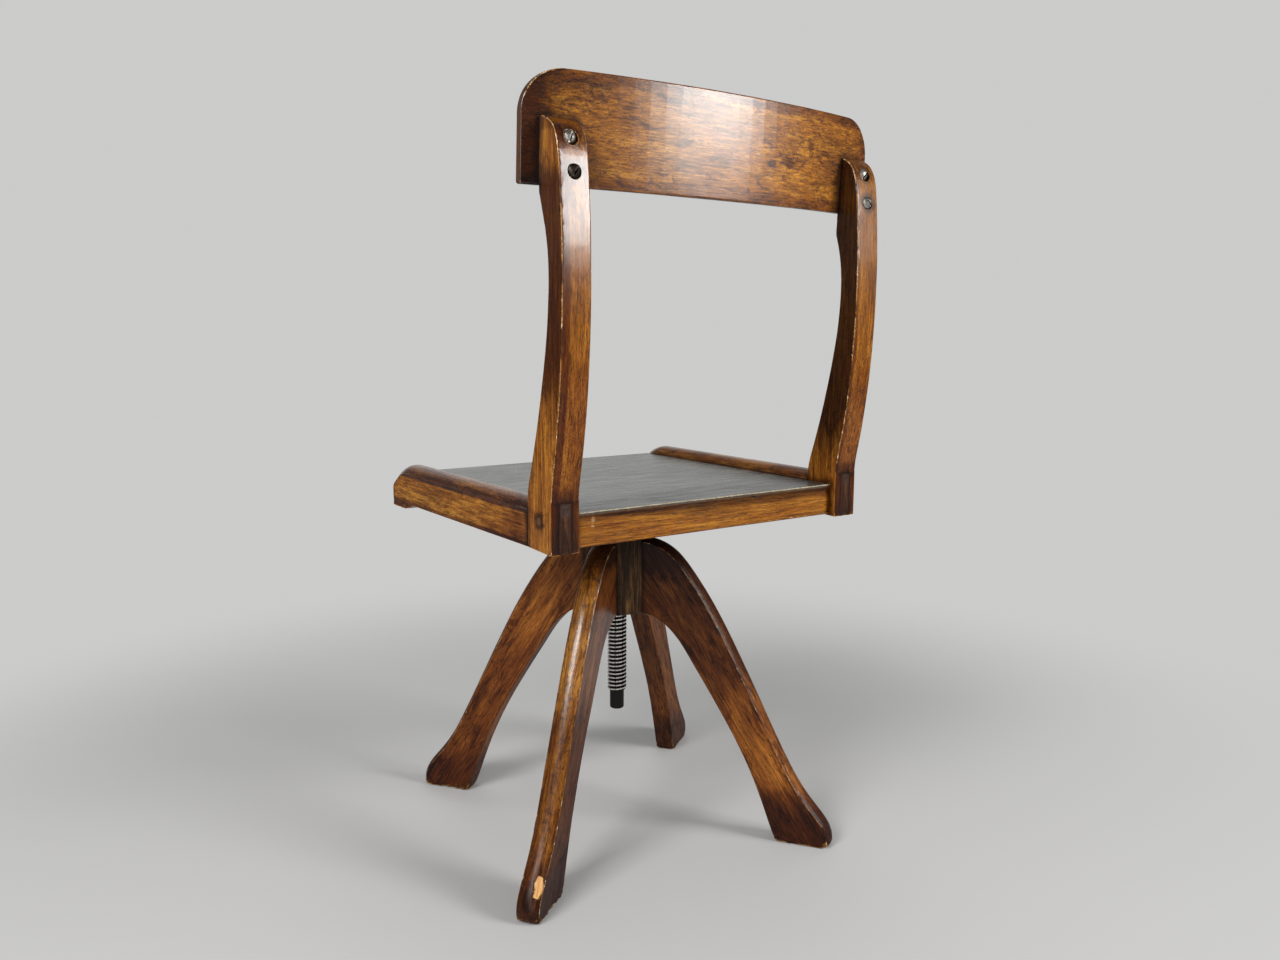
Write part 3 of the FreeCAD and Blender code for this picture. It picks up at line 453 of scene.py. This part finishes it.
def linoleum():
    """Dark grey-green linoleum, dulled by fine scratches; its cut edge shows the jute."""
    g = Graph("linoleum")
    spot = g.object_place()
    facing = g.add("TexCoord").outputs["Normal"]
    marks = {
        name: g.long_noise(spot, reach, (shift, shift, 0), *rest)
        for name, (reach, shift, *rest) in LINO_NOISE.items()
    }
    cloud, brushed, grain, scuff = (marks[key] for key in ("cloud", "brushed", "grain", "scuff"))
    colour = g.mix(g.ease(cloud, 0.35, 0.65), LINO_DARK, LINO_LIGHT)
    for name, start, full, strength, by in LINO_MARKS:
        colour = g.mix(g.times(g.ease(marks[name], start, full), strength), colour, tint(by))
    rear = g.ease(g.plus(g.dot(spot, Y), g.times(cloud, 0.05)), 0.10, 0.20)
    colour = g.mix(rear, colour, grey(LINO_REAR), "MULTIPLY")

    # The cut edge at the rear: jute, darker in its lower part.
    side = g.ease(g.dot(facing, Z), 0.55, 0.30)
    cut = g.times(side, g.ease(g.dot(spot, Y), 0.150, 0.160))
    jute = g.mix(g.ease(grain, 0.40, 0.60), JUTE_DARK, JUTE_LIGHT)
    level = g.plus(g.dot(spot, Z), g.times(scuff, 0.0016))
    jute = g.mix(g.ease(level, 0.4354, 0.4361), JUTE_LOWER, jute)
    colour = g.mix(cut, colour, jute)

    rough = g.blend(g.ease(brushed, 0.40, 0.64), 0.18, 0.40)
    rough = g.plus(rough, g.times(g.ease(cloud, 0.40, 0.70), 0.10))
    height = g.plus(g.times(brushed, 0.35), g.times(grain, 0.30))
    height = g.plus(height, g.times(marks["crossed"], 0.20))
    return g.finish(colour, rough, height, 0.00012, IOR=1.5, Coat_Weight=0.12,
                    Coat_Roughness=0.30)


RUST = (0.075, 0.038, 0.020, 1.0)
CREVICE = 0.0016                # how far apart the sides of a crevice are that gets painted shade
CREVICE_SHADE = grey(0.04)


def metal(name, dark, light, rough_from, rough_to, rust, zones=()):
    """Old metal: dulled, with dirt and rust in patches, and painted shade in its crevices. Each
    zone is (centre, reach, colour).
    """
    g = Graph(name)
    spot = g.object_place()
    coarse = g.fine_noise(spot, 140.0, 5.0, 0.65, 0.5)
    fine = g.fine_noise(spot, 900.0, 4.0, 0.65)
    colour = g.mix(g.ease(coarse, 0.35, 0.65), tint(dark), tint(light))
    colour = g.mix(g.times(g.ease(fine, 0.52, 0.66), rust), colour, RUST)
    for centre, reach, shade in zones:
        gap = g.add("VectorMath", {0: spot, 1: centre}, operation="DISTANCE").outputs["Value"]
        colour = g.mix(g.ease(gap, reach, reach * 0.9), colour, tint(shade), "MULTIPLY")
    # Painted shade in the crevices, found by ambient occlusion.
    open_sky = g.add("AmbientOcclusion", {"Distance": CREVICE}, samples=8).outputs["AO"]
    colour = g.mix(g.ease(open_sky, 0.92, 0.62), colour, CREVICE_SHADE, "MULTIPLY")
    rough = g.blend(g.ease(fine, 0.35, 0.70), rough_from, rough_to)
    height = g.plus(g.times(fine, 0.6), g.times(coarse, 0.4))
    return g.finish(colour, rough, height, 0.00010, Metallic=1.0)


GROOVE_RADIUS = 0.0107          # below it the screw is black: oil, and painted shade in its grooves
CREST_RADIUS = 0.0118           # above it the screw is rubbed bright
GROOVE_STEEL = (0.022, 0.021, 0.020, 1.0)
CREST_STEEL = (0.62, 0.60, 0.57, 1.0)
OIL = (0.030, 0.026, 0.022, 1.0)


def spindle_steel():
    """A dark oiled screw: rubbed bright on its crests, black in its grooves and on its end. The
    black in its grooves is oil and painted shade.
    """
    g = Graph("spindle_steel")
    spot = g.object_place()
    flat = g.add("VectorMath", {0: spot, 1: (1, 1, 0)}, operation="MULTIPLY").outputs[0]
    fine = g.fine_noise(spot, 700.0, 4.0, 0.65)
    crest = g.ease(g.length(flat), GROOVE_RADIUS, CREST_RADIUS)
    colour = g.mix(crest, GROOVE_STEEL, CREST_STEEL)
    colour = g.mix(g.times(g.ease(fine, 0.50, 0.66), 0.6), colour, OIL)
    rough = g.blend(crest, 0.46, 0.21)
    return g.finish(colour, rough, fine, 0.00008, Metallic=1.0)


LEATHER_DARK = (0.020, 0.012, 0.008, 1.0)
LEATHER_LIGHT = (0.060, 0.034, 0.020, 1.0)


def leather():
    """Oiled leather, nearly black."""
    g = Graph("washer_leather")
    spot = g.object_place()
    coarse = g.fine_noise(spot, 260.0, 4.0, 0.6)
    fine = g.fine_noise(spot, 1500.0, 3.0, 0.6)
    colour = g.mix(g.ease(coarse, 0.35, 0.65), LEATHER_DARK, LEATHER_LIGHT)
    rough = g.blend(fine, 0.55, 0.80)
    return g.finish(colour, rough, fine, 0.00020)


# ---------------------------------------------------------------- worn pieces
WELD = 1e-6                     # points this near are one point
STEP = 0.0038
SMOOTHING = 12                  # rounds
FULL_RELIEF = 0.0016            # how far an arris stands out of its smoothed surface
ARRIS_WEAR = 0.00045            # how much an arris has been rubbed down
NICK_SIZE = 0.0075              # how large the nicks in it are
NICK_START = 0.18               # and above what noise they start
NICK_DEPTH = 2.6                # how much deeper than its wear an arris is at a nick
EVEN_DEPTH = 0.30               # and how deep it is between the nicks
BARE_GAIN = 4.5                 # how soon a deeper nick shows bare wood
BARE_START = 1.1
WAVE = 0.00026                  # how uneven a hand-planed face is
WAVE_SIZE = 0.038               # and how long its waves are
REACH = 0.013                   # how far the dirt and painted shade spread from a joint
ARRIS_FADE = 6                  # how steeply an arris ends at a joint
WEAR_FADE = 1.6                 # and all wear before it
FOOT_WEAR = 0.0022              # how much the floor has worn the edge under a foot
FOOT_REACH = 0.012              # and how high up
CHIP_RAGGED = 0.26              # how ragged a chip's edge is, as a share of its reach
CHIP_RAGGED_SIZE = 0.006        # and how long the tatters are
CHIP_RIM = 1.05                 # where a chip starts, as a share of its reach
CHIP_SLOPE = 0.35               # and how much further in it is at its full depth
BARE_EDGE = 6                   # how sharply its bare wood ends

body_of_node = {
    node: body
    for body, members in frame["record"]["behaviour"]["bodies"].items()
    for node in members
}


def welded(node):
    """A CAD node's points and triangles, with the points that coincide made one."""
    mesh = frame["nodes"][node].data
    mesh.calc_loop_triangles()
    points = np.empty(3 * len(mesh.vertices), np.float32)
    mesh.vertices.foreach_get("co", points)
    corners = np.empty(3 * len(mesh.loop_triangles), np.int32)
    mesh.loop_triangles.foreach_get("vertices", corners)
    points = points.reshape(-1, 3).astype(float)
    keys = np.round(points / WELD).astype(np.int64)
    _, first, index = np.unique(keys, axis=0, return_index=True, return_inverse=True)
    triangles = index.ravel()[corners].reshape(-1, 3)
    a, b, c = triangles.T
    return points[first], triangles[(a != b) & (b != c) & (c != a)]


def cut_once(points, triangles, height):
    """The triangles cut where the height of their points passes zero. The mesh stays closed."""
    side = np.where(np.abs(height) < WELD, 0, np.sign(height)).astype(int)
    sides = side[triangles]
    crossed = (sides.min(1) < 0) & (sides.max(1) > 0)
    if not crossed.any():
        return points, triangles
    cut = triangles[crossed]
    sides = sides[crossed]
    touching = (sides == 0).any(1)
    # The corner that is by itself: on the plane, or alone on its side of it.
    alone = np.where(touching[:, None], sides == 0, sides == -sides.sum(1)[:, None])
    start = np.argmax(alone, axis=1)
    rows = np.arange(len(cut))
    a, b, c = (cut[rows, (start + k) % 3] for k in range(3))
    free = ~touching
    pairs = np.concatenate((
        np.stack((a[free], b[free]), 1),
        np.stack((a[free], c[free]), 1),
        np.stack((b[touching], c[touching]), 1),
    ))
    pairs.sort(axis=1)
    edges, index = np.unique(pairs, axis=0, return_inverse=True)
    low, high = edges.T
    share = height[low] / (height[low] - height[high])
    added = points[low] + (points[high] - points[low]) * share[:, None]
    index = index.ravel() + len(points)
    count = free.sum()
    p, q, m = index[:count], index[count:2 * count], index[2 * count:]
    a1, b1, c1 = a[free], b[free], c[free]
    a2, b2, c2 = a[touching], b[touching], c[touching]
    parts = ((a1, p, q), (p, b1, c1), (p, c1, q), (a2, b2, m), (a2, m, c2))
    made = [np.stack(part, 1) for part in parts]
    return np.concatenate((points, added)), np.concatenate([triangles[~crossed], *made])


def sliced(points, triangles, normal, step):
    """The triangles cut by evenly spaced planes across the normal."""
    heights = points @ normal
    count = int((heights.max() - heights.min()) / step)
    for offset in np.linspace(heights.min(), heights.max(), count + 2)[1:-1]:
        points, triangles = cut_once(points, triangles, points @ normal - offset)
    return points, triangles


def summed(index, values, count):
    """The rows of values added up by index."""
    return np.stack([np.bincount(index, column, count) for column in values.T], 1)


def outward(points, triangles):
    """Each point's normal."""
    a, b, c = (points[triangles[:, k]] for k in range(3))
    faces = np.cross(b - a, c - a)
    total = sum(summed(triangles[:, k], faces, len(points)) for k in range(3))
    return total / np.maximum(np.linalg.norm(total, axis=1), 1e-12)[:, None]


def stand_out(points, triangles, normals):
    """How far each point stands out of the surface round it once that is smoothed."""
    ends = np.concatenate([triangles[:, [0, 1]], triangles[:, [1, 2]], triangles[:, [2, 0]]])
    ends.sort(axis=1)
    a, b = np.unique(ends, axis=0).T
    length = np.linalg.norm(points[a] - points[b], axis=1)[:, None]
    count = len(points)
    weight = summed(a, length, count) + summed(b, length, count)
    smooth = points
    for _ in range(SMOOTHING):
        total = summed(a, smooth[b] * length, count) + summed(b, smooth[a] * length, count)
        smooth = 0.5 * smooth + 0.5 * total / weight
    return ((points - smooth) * normals).sum(1)


FACET = 4.5                     # degrees between the facets of one curved face
FAIRING = 40                    # rounds


def faired(points, triangles, crisp):
    """Each corner's normal: the facets of a curved face are smoothed over, arrises are kept."""
    a, b, c = (points[triangles[:, k]] for k in range(3))
    faces = np.cross(b - a, c - a)
    area = np.maximum(np.linalg.norm(faces, axis=1), 1e-15)[:, None]
    faces = faces / area
    count = len(triangles)
    ends = np.concatenate([triangles[:, [0, 1]], triangles[:, [1, 2]], triangles[:, [2, 0]]])
    keys = ends.min(1) * len(points) + ends.max(1)
    order = np.argsort(keys, kind="stable")
    shared = keys[order][1:] == keys[order][:-1]
    one, other = order[:-1][shared] % count, order[1:][shared] % count
    flat = (faces[one] * faces[other]).sum(1) > math.cos(math.radians(FACET))
    one, other = one[flat], other[flat]
    smooth = faces
    for _ in range(FAIRING):
        total = smooth + summed(one, smooth[other], count) + summed(other, smooth[one], count)
        smooth = total / np.linalg.norm(total, axis=1)[:, None]

    corner = triangles.ravel()
    order = np.argsort(corner, kind="stable")
    used = np.bincount(corner, minlength=len(points))
    start = np.cumsum(used) - used
    around = used[corner]
    first = np.repeat(np.arange(len(corner)), around)
    step = np.arange(len(first)) - np.repeat(np.cumsum(around) - around, around)
    second = order[start[corner[first]] + step]
    alike = (faces[first // 3] * faces[second // 3]).sum(1) > math.cos(math.radians(crisp))
    first, second = first[alike], second[alike] // 3
    total = summed(first, smooth[second] * area[second], len(corner))
    return total / np.maximum(np.linalg.norm(total, axis=1), 1e-15)[:, None]


trees = {}


def tree_of(node):
    if node not in trees:
        points, triangles = welded(node)
        trees[node] = BVHTree.FromPolygons(points.tolist(), triangles.tolist())
    return trees[node]


def nearness(points, neighbours):
    """1 where a point touches a neighbour, falling to 0 a reach away from it."""
    near = np.zeros(len(points))
    for node in neighbours:
        low, high = (np.array(corner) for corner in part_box(node))
        inside = ((points > low - REACH) & (points < high + REACH)).all(1)
        tree = tree_of(node)
        for k in np.flatnonzero(inside):
            gap = tree.find_nearest(points[k], REACH)[3]
            if gap is not None:
                near[k] = max(near[k], 1 - gap / REACH)
    return near


def wandering(points, size, seed):
    """Slow noise from -1 to 1 at each point, with features of a size in metres."""
    shift = Vector((seed * 3.7, seed * 1.3, seed * 2.1))
    return np.array([noise.noise(Vector(point) / size + shift) for point in points])


def worn_piece(node, material, along, across, neighbours, seed, chips=(), crisp=32):
    """A worn copy of a CAD node, finely cut, with rubbed arrises and uneven faces.

    Each chip is (centre, reach along, across and through the grain, depth). Edges sharper
    than crisp degrees stay sharp."""
    axes = np.array(grain_axes(along, across))
    points, triangles = welded(node)
    for axis in axes:
        points, triangles = sliced(points, triangles, axis, STEP)
    normals = outward(points, triangles)
    worn = np.clip(stand_out(points, triangles, normals) / FULL_RELIEF, 0, 1)
    near = nearness(points, neighbours)
    worn *= np.clip((1 - near) * ARRIS_FADE, 0, 1)
    free = 1 - np.clip(near * WEAR_FADE, 0, 1)
    nick = np.clip(wandering(points, NICK_SIZE, seed) - NICK_START, 0, 1)
    depth = worn * ARRIS_WEAR * (EVEN_DEPTH + NICK_DEPTH * nick)
    depth += WAVE * 0.5 * (1 + wandering(points, WAVE_SIZE, seed + 5))
    depth += FOOT_WEAR * worn * np.clip(1 - points[:, 2] / FOOT_REACH, 0, 1)
    bare = np.clip(worn * nick * BARE_GAIN - BARE_START, 0, 1) * free
    for centre, reach, cut in chips:
        offset = (points - np.array(centre)) @ axes.T
        gap = np.linalg.norm(offset / np.array(reach), axis=1)
        gap += CHIP_RAGGED * wandering(points, CHIP_RAGGED_SIZE, seed + 9)
        depth += cut * np.clip((CHIP_RIM - gap) / CHIP_SLOPE, 0, 1)
        bare = np.maximum(bare, np.clip((1.0 - gap) * BARE_EDGE, 0, 1))
    points = points - normals * (depth * free)[:, None]
    mesh = bpy.data.meshes.new(node + "_worn")
    mesh.from_pydata(points.tolist(), [], triangles.tolist())
    for name, values in (("worn", worn), ("near", near), ("bare", bare)):
        mesh.attributes.new(name, "FLOAT", "POINT").data.foreach_set("value", values)
    mesh.shade_smooth()
    mesh.normals_split_custom_set(faired(points, triangles, crisp).tolist())
    mesh.materials.append(material)
    piece = bpy.data.objects.new(node + "_worn", mesh)
    bpy.context.scene.collection.objects.link(piece)
    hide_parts(node)
    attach(piece, body_of_node[node])


def dress(node, material):
    """Gives a CAD node's own mesh its look."""
    mesh_object = frame["nodes"][node]
    mesh_object.data.materials.clear()
    mesh_object.data.materials.append(material)


# ---------------------------------------------------------------- the chair
OUTER = {"left": X, "right": (-1.0, 0.0, 0.0)}
INNER = {"left": (-1.0, 0.0, 0.0), "right": X}
LEG_AZIMUTHS = {"leg_1": 36, "leg_2": 126, "leg_3": 216, "leg_4": 306}
# Where each leg darkens up to the hub is a painted shadow of the seat.
SEAT_SHADOW_ON_LEGS = {"leg_1": (0.315, 0.355), "leg_2": (0.290, 0.345), "leg_3": (0.300, 0.350),
            "leg_4": (0.345, 0.372)}    # from where to where a leg darkens up to the hub
LEG_ZONES = {
    # The near leg's side faces painted darker than its crest: painted shade.
    "leg_1": (((-0.588, 0.809, 0.0), Z, -0.20, -0.10, 0.50, 0.60, (0.42, 0.30, 0.26)),
              ((0.588, -0.809, 0.0), Z, -0.20, -0.10, 0.50, 0.60, (0.42, 0.30, 0.26)),
              (None, Z, -0.10, -0.05, 0.150, 0.240, (0.60, 0.51, 0.43))),
    "leg_2": ((None, Z, 0.120, 0.240, 0.50, 0.60, (0.44, 0.38, 0.36)),
              (None, Z, -0.10, -0.05, 0.045, 0.085, (0.48, 0.40, 0.38)),
              (None, Z, 0.060, 0.090, 0.110, 0.150, (1.20, 1.28, 1.30))),
    "leg_3": ((None, Z, -0.10, -0.05, 0.50, 0.60, (0.52, 0.48, 0.46)),),
    "leg_4": ((None, Z, -0.10, -0.05, 0.180, 0.260, (0.62, 0.54, 0.52)),),
}
LEG_RUN = 0.53                  # of a leg's slope, level and down
LEG_FALL = -0.85
BEST_LEG = "leg_1"              # its varnish is the best kept, and its foot is chipped
PANEL_SEED = 12.6
FOOT_CHIP = ((0.2070, 0.1608, 0.0375), (0.0125, 0.0050, 0.0090), 0.0017)


def make_seat():
    """The seat's frame, its linoleum, and the raw wood under it."""
    for side, seed in (("left", 3.3), ("right", 8.8)):
        name = "side_rail_" + side
        zones = (
            (None, Y, 0.020, 0.150, 0.30, 0.40, (0.66, 0.54, 0.46)),
            (None, Y, -0.30, -0.25, -0.207, -0.190, (0.34, 0.26, 0.22)),
            # A dark band painted on the outer shoulder under the crown: painted shade.
            (OUTER[side], Z, 0.4315, 0.4350, 0.450, 0.46, (0.26, 0.17, 0.13)),
            # The bottom of the rail painted darker: painted shade along its lower edge.
            (None, Z, 0.380, 0.390, 0.4015, 0.408, (0.36, 0.27, 0.22)),
            (Z, Z, 0.430, 0.435, 0.460, 0.470, (0.66, 0.58, 0.54)),
        )
        material = wood(name + "_wood", ORANGE, Y, Z, seed, stain=0.60, coat=0.10, zones=zones,
                        figured=(75, 8), contrast=0.8, polished=(0.80, 0.430, 0.440))
        neighbours = ["back_post_" + side, "seat_linoleum", "front_rail", "rear_rail"]
        worn_piece(name, material, Y, Z, neighbours, seed, crisp=22)
    neighbours = ["back_post_left", "back_post_right", "seat_linoleum", "side_rail_left",
                  "side_rail_right"]
    scratch = ((0.1560, 0.200, 0.4300), (0.0040, 0.03, 0.0135), (2.4, 4.4, 14.0))
    for name, seed in (("rear_rail", 5.1), ("front_rail", 6.6)):
        material = wood(name + "_wood", ORANGE, X, Z, seed, stain=0.24, coat=0.06,
                        spots=(scratch,), figured=(120, 7), contrast=0.6)
        worn_piece(name, material, X, Z, neighbours, seed)
    dress("seat_linoleum", linoleum())
    raw = wood("raw_wood", RAW, X, Y, 2.2, stain=0.6, gloss=0.62, coat=0.0)
    raw_long = wood("raw_long_wood", RAW, Y, X, 4.4, stain=0.7, gloss=0.62, coat=0.0)
    for node in ("seat_board", "front_rail_dowels", "rear_rail_dowels", "leg_dowels"):
        dress(node, raw)
    for node in ("seat_bearer_left", "seat_bearer_right"):
        dress(node, raw_long)
    for end in ("front", "rear"):
        for side in ("left", "right"):
            dress("corner_block_" + end + "_" + side, raw)


def make_back():
    """The back posts and panel, their screws and pegs."""
    arris_soil = {"left": (Y, X, 0.1990, 0.2025, 0.215, 0.230, (0.40, 0.28, 0.24)),
                  "right": (Y, X, -0.1825, -0.1810, -0.170, -0.160, (0.55, 0.45, 0.38))}
    for side, seed in (("left", 1.7), ("right", 9.4)):
        name = "back_post_" + side
        zones = (
            (OUTER[side], Z, 0.500, 0.600, 0.740, 0.790, (0.22, 0.15, 0.13)),
            # The inner faces painted dark: painted shade.
            (INNER[side], Z, 0.400, 0.560, 0.790, 0.830, (0.13, 0.10, 0.09)),
            (None, Z, 0.790, 0.805, 0.900, 0.950, (0.55, 0.48, 0.42)),
            (Y, Z, 0.380, 0.390, 0.452, 0.472, (0.38, 0.27, 0.23)),
            (Y, Z, 0.440, 0.470, 0.540, 0.620, (0.74, 0.63, 0.55)),
            arris_soil[side],
        )
        material = wood(name + "_wood", ORANGE, Z, X, seed, stain=0.45, coat=0.16, zones=zones,
                        figured=(130, 9), contrast=0.62, rounded=X,
                        polished=(0.74, 0.600, 0.720))
        neighbours = ["side_rail_" + side, "rear_rail", "backrest_panel", "seat_linoleum",
                      "bridle_pegs", "backrest_screws"]
        worn_piece(name, material, Z, X, neighbours, seed)
    zones = (
        # The panel's left end, beside the left post, painted dark: a painted shadow.
        (None, X, 0.165, 0.225, 0.30, 0.40, (0.17, 0.11, 0.09)),
        (None, X, 0.080, 0.130, 0.30, 0.40, (0.86, 0.80, 0.66)),
        (None, X, -0.40, -0.30, 0.020, 0.060, (1.10, 1.02, 0.80)),
        (None, X, -0.40, -0.30, -0.225, -0.190, (0.50, 0.40, 0.33)),
        (None, Z, 0.836, 0.850, 0.90, 0.95, (0.52, 0.42, 0.36)),
        (None, Z, 0.70, 0.74, 0.750, 0.768, (0.60, 0.50, 0.42)),
    )
    spots = (
        ((-0.085, 0.203, 0.795), (0.020, 0.03, 0.014), (0.30, 0.22, 0.18)),
        ((-0.120, 0.200, 0.812), (0.012, 0.03, 0.018), (0.34, 0.25, 0.20)),
        ((-0.060, 0.205, 0.790), (0.010, 0.03, 0.009), (0.32, 0.24, 0.20)),
        ((0.075, 0.205, 0.838), (0.030, 0.03, 0.010), (0.40, 0.32, 0.28)),
        ((0.060, 0.205, 0.800), (0.016, 0.03, 0.012), (0.50, 0.42, 0.38)),
    )
    material = wood("backrest_wood", AMBER, X, Z, PANEL_SEED, stain=0.8, coat=0.90, sheen=0.225,
                    zones=zones, spots=spots, relief=0.00052, figured=(46, 5.2),
                    contrast=0.78, rounded=Y)
    posts = ["back_post_left", "back_post_right"]
    worn_piece("backrest_panel", material, X, Z, posts, PANEL_SEED)
    # The lower left screw painted dark: painted shade in its deep pocket.
    dark_screw = ((0.1935, 0.216, 0.758), 0.012, (0.16, 0.14, 0.12))
    screws = metal("screw_steel", dark=(0.22, 0.20, 0.18), light=(0.50, 0.48, 0.44),
                   rough_from=0.34, rough_to=0.52, rust=0.6, zones=(dark_screw,))
    for node in ("backrest_screws", "board_screws", "spider_screws", "nut_screws"):
        dress(node, screws)
    dress("bridle_pegs", wood("peg_wood", PEG, X, Y, 3.9, stain=0.3))


def make_base():
    """The legs and the hub, and the iron and steel that carry the seat."""
    for name, azimuth in LEG_AZIMUTHS.items():
        a = math.radians(azimuth)
        along = (LEG_RUN * math.cos(a), LEG_RUN * math.sin(a), LEG_FALL)
        across = (-math.sin(a), math.cos(a), 0.0)
        zones = (
            (None, Z, -0.10, -0.05, 0.012, 0.095, (0.40, 0.31, 0.27)),
            # Darker up to the hub: a painted shadow of the seat.
            (None, Z, *SEAT_SHADOW_ON_LEGS[name], 0.50, 0.60, (0.30, 0.22, 0.20)),
            *LEG_ZONES[name],
        )
        seed = azimuth / 17.0
        best = name == BEST_LEG
        palette = ORANGE if best else RUSSET
        gloss, polished = (0.30, (0.95, 0.150, 0.240)) if best else (0.42, None)
        material = wood(name + "_wood", palette, along, across, seed, stain=0.7, gloss=gloss,
                        coat=0.12, sheen=0.26, zones=zones, figured=(72, 7), contrast=0.8,
                        polished=polished)
        chips = (FOOT_CHIP,) if best else ()
        worn_piece(name, material, along, across, ["hub"], seed, chips)
    dress("hub", wood("hub_wood", SOOT, Z, X, 7.1, stain=0.5, gloss=0.42, coat=0.0))
    iron = metal("cast_iron", dark=(0.030, 0.028, 0.026), light=(0.085, 0.078, 0.070),
                 rough_from=0.45, rough_to=0.70, rust=0.5)
    for node in ("spindle_nut", "seat_spider"):
        dress(node, iron)
    steel = spindle_steel()
    dress("spindle", steel)
    dress("spindle_pin", steel)
    dress("buffer_washer", leather())


# ---------------------------------------------------------------- floor
FLOOR_HALF = 14.0
FLOOR_DROP = 0.0003             # how far it lies below the feet
FLOOR_NEAR = 0.45               # metres from the chair where the floor starts to fade
FLOOR_FAR = 1.30
PAINT = (0.49, 0.49, 0.487, 1.0)


def make_floor():
    """A plain pale floor that fades into the room."""
    g = Graph("pale_floor")
    fade = g.ease(g.length(g.object_place()), FLOOR_NEAR, FLOOR_FAR)
    seen = g.times(fade, g.add("LightPath").outputs["Is Camera Ray"])
    paint = g.add("BsdfPrincipled", {"Base Color": PAINT, "Roughness": 0.75})
    glow = g.add("Emission", {"Color": ROOM, "Strength": 1.0})
    both = g.add("MixShader", {0: seen, 1: paint.outputs[0], 2: glow.outputs[0]})
    g.add("OutputMaterial", {"Surface": both.outputs[0]})
    mesh = bpy.data.meshes.new("floor")
    corners = [(x * FLOOR_HALF, y * FLOOR_HALF, -FLOOR_DROP) for x, y in
               ((-1, -1), (1, -1), (1, 1), (-1, 1))]
    mesh.from_pydata(corners, [], [(0, 1, 2, 3)])
    mesh.materials.append(g.material)
    floor = bpy.data.objects.new("floor", mesh)
    bpy.context.scene.collection.objects.link(floor)


make_camera()
make_lights()
make_world()
make_floor()
make_seat()
make_back()
make_base()
bpy.context.scene.view_settings.view_transform = "Standard"
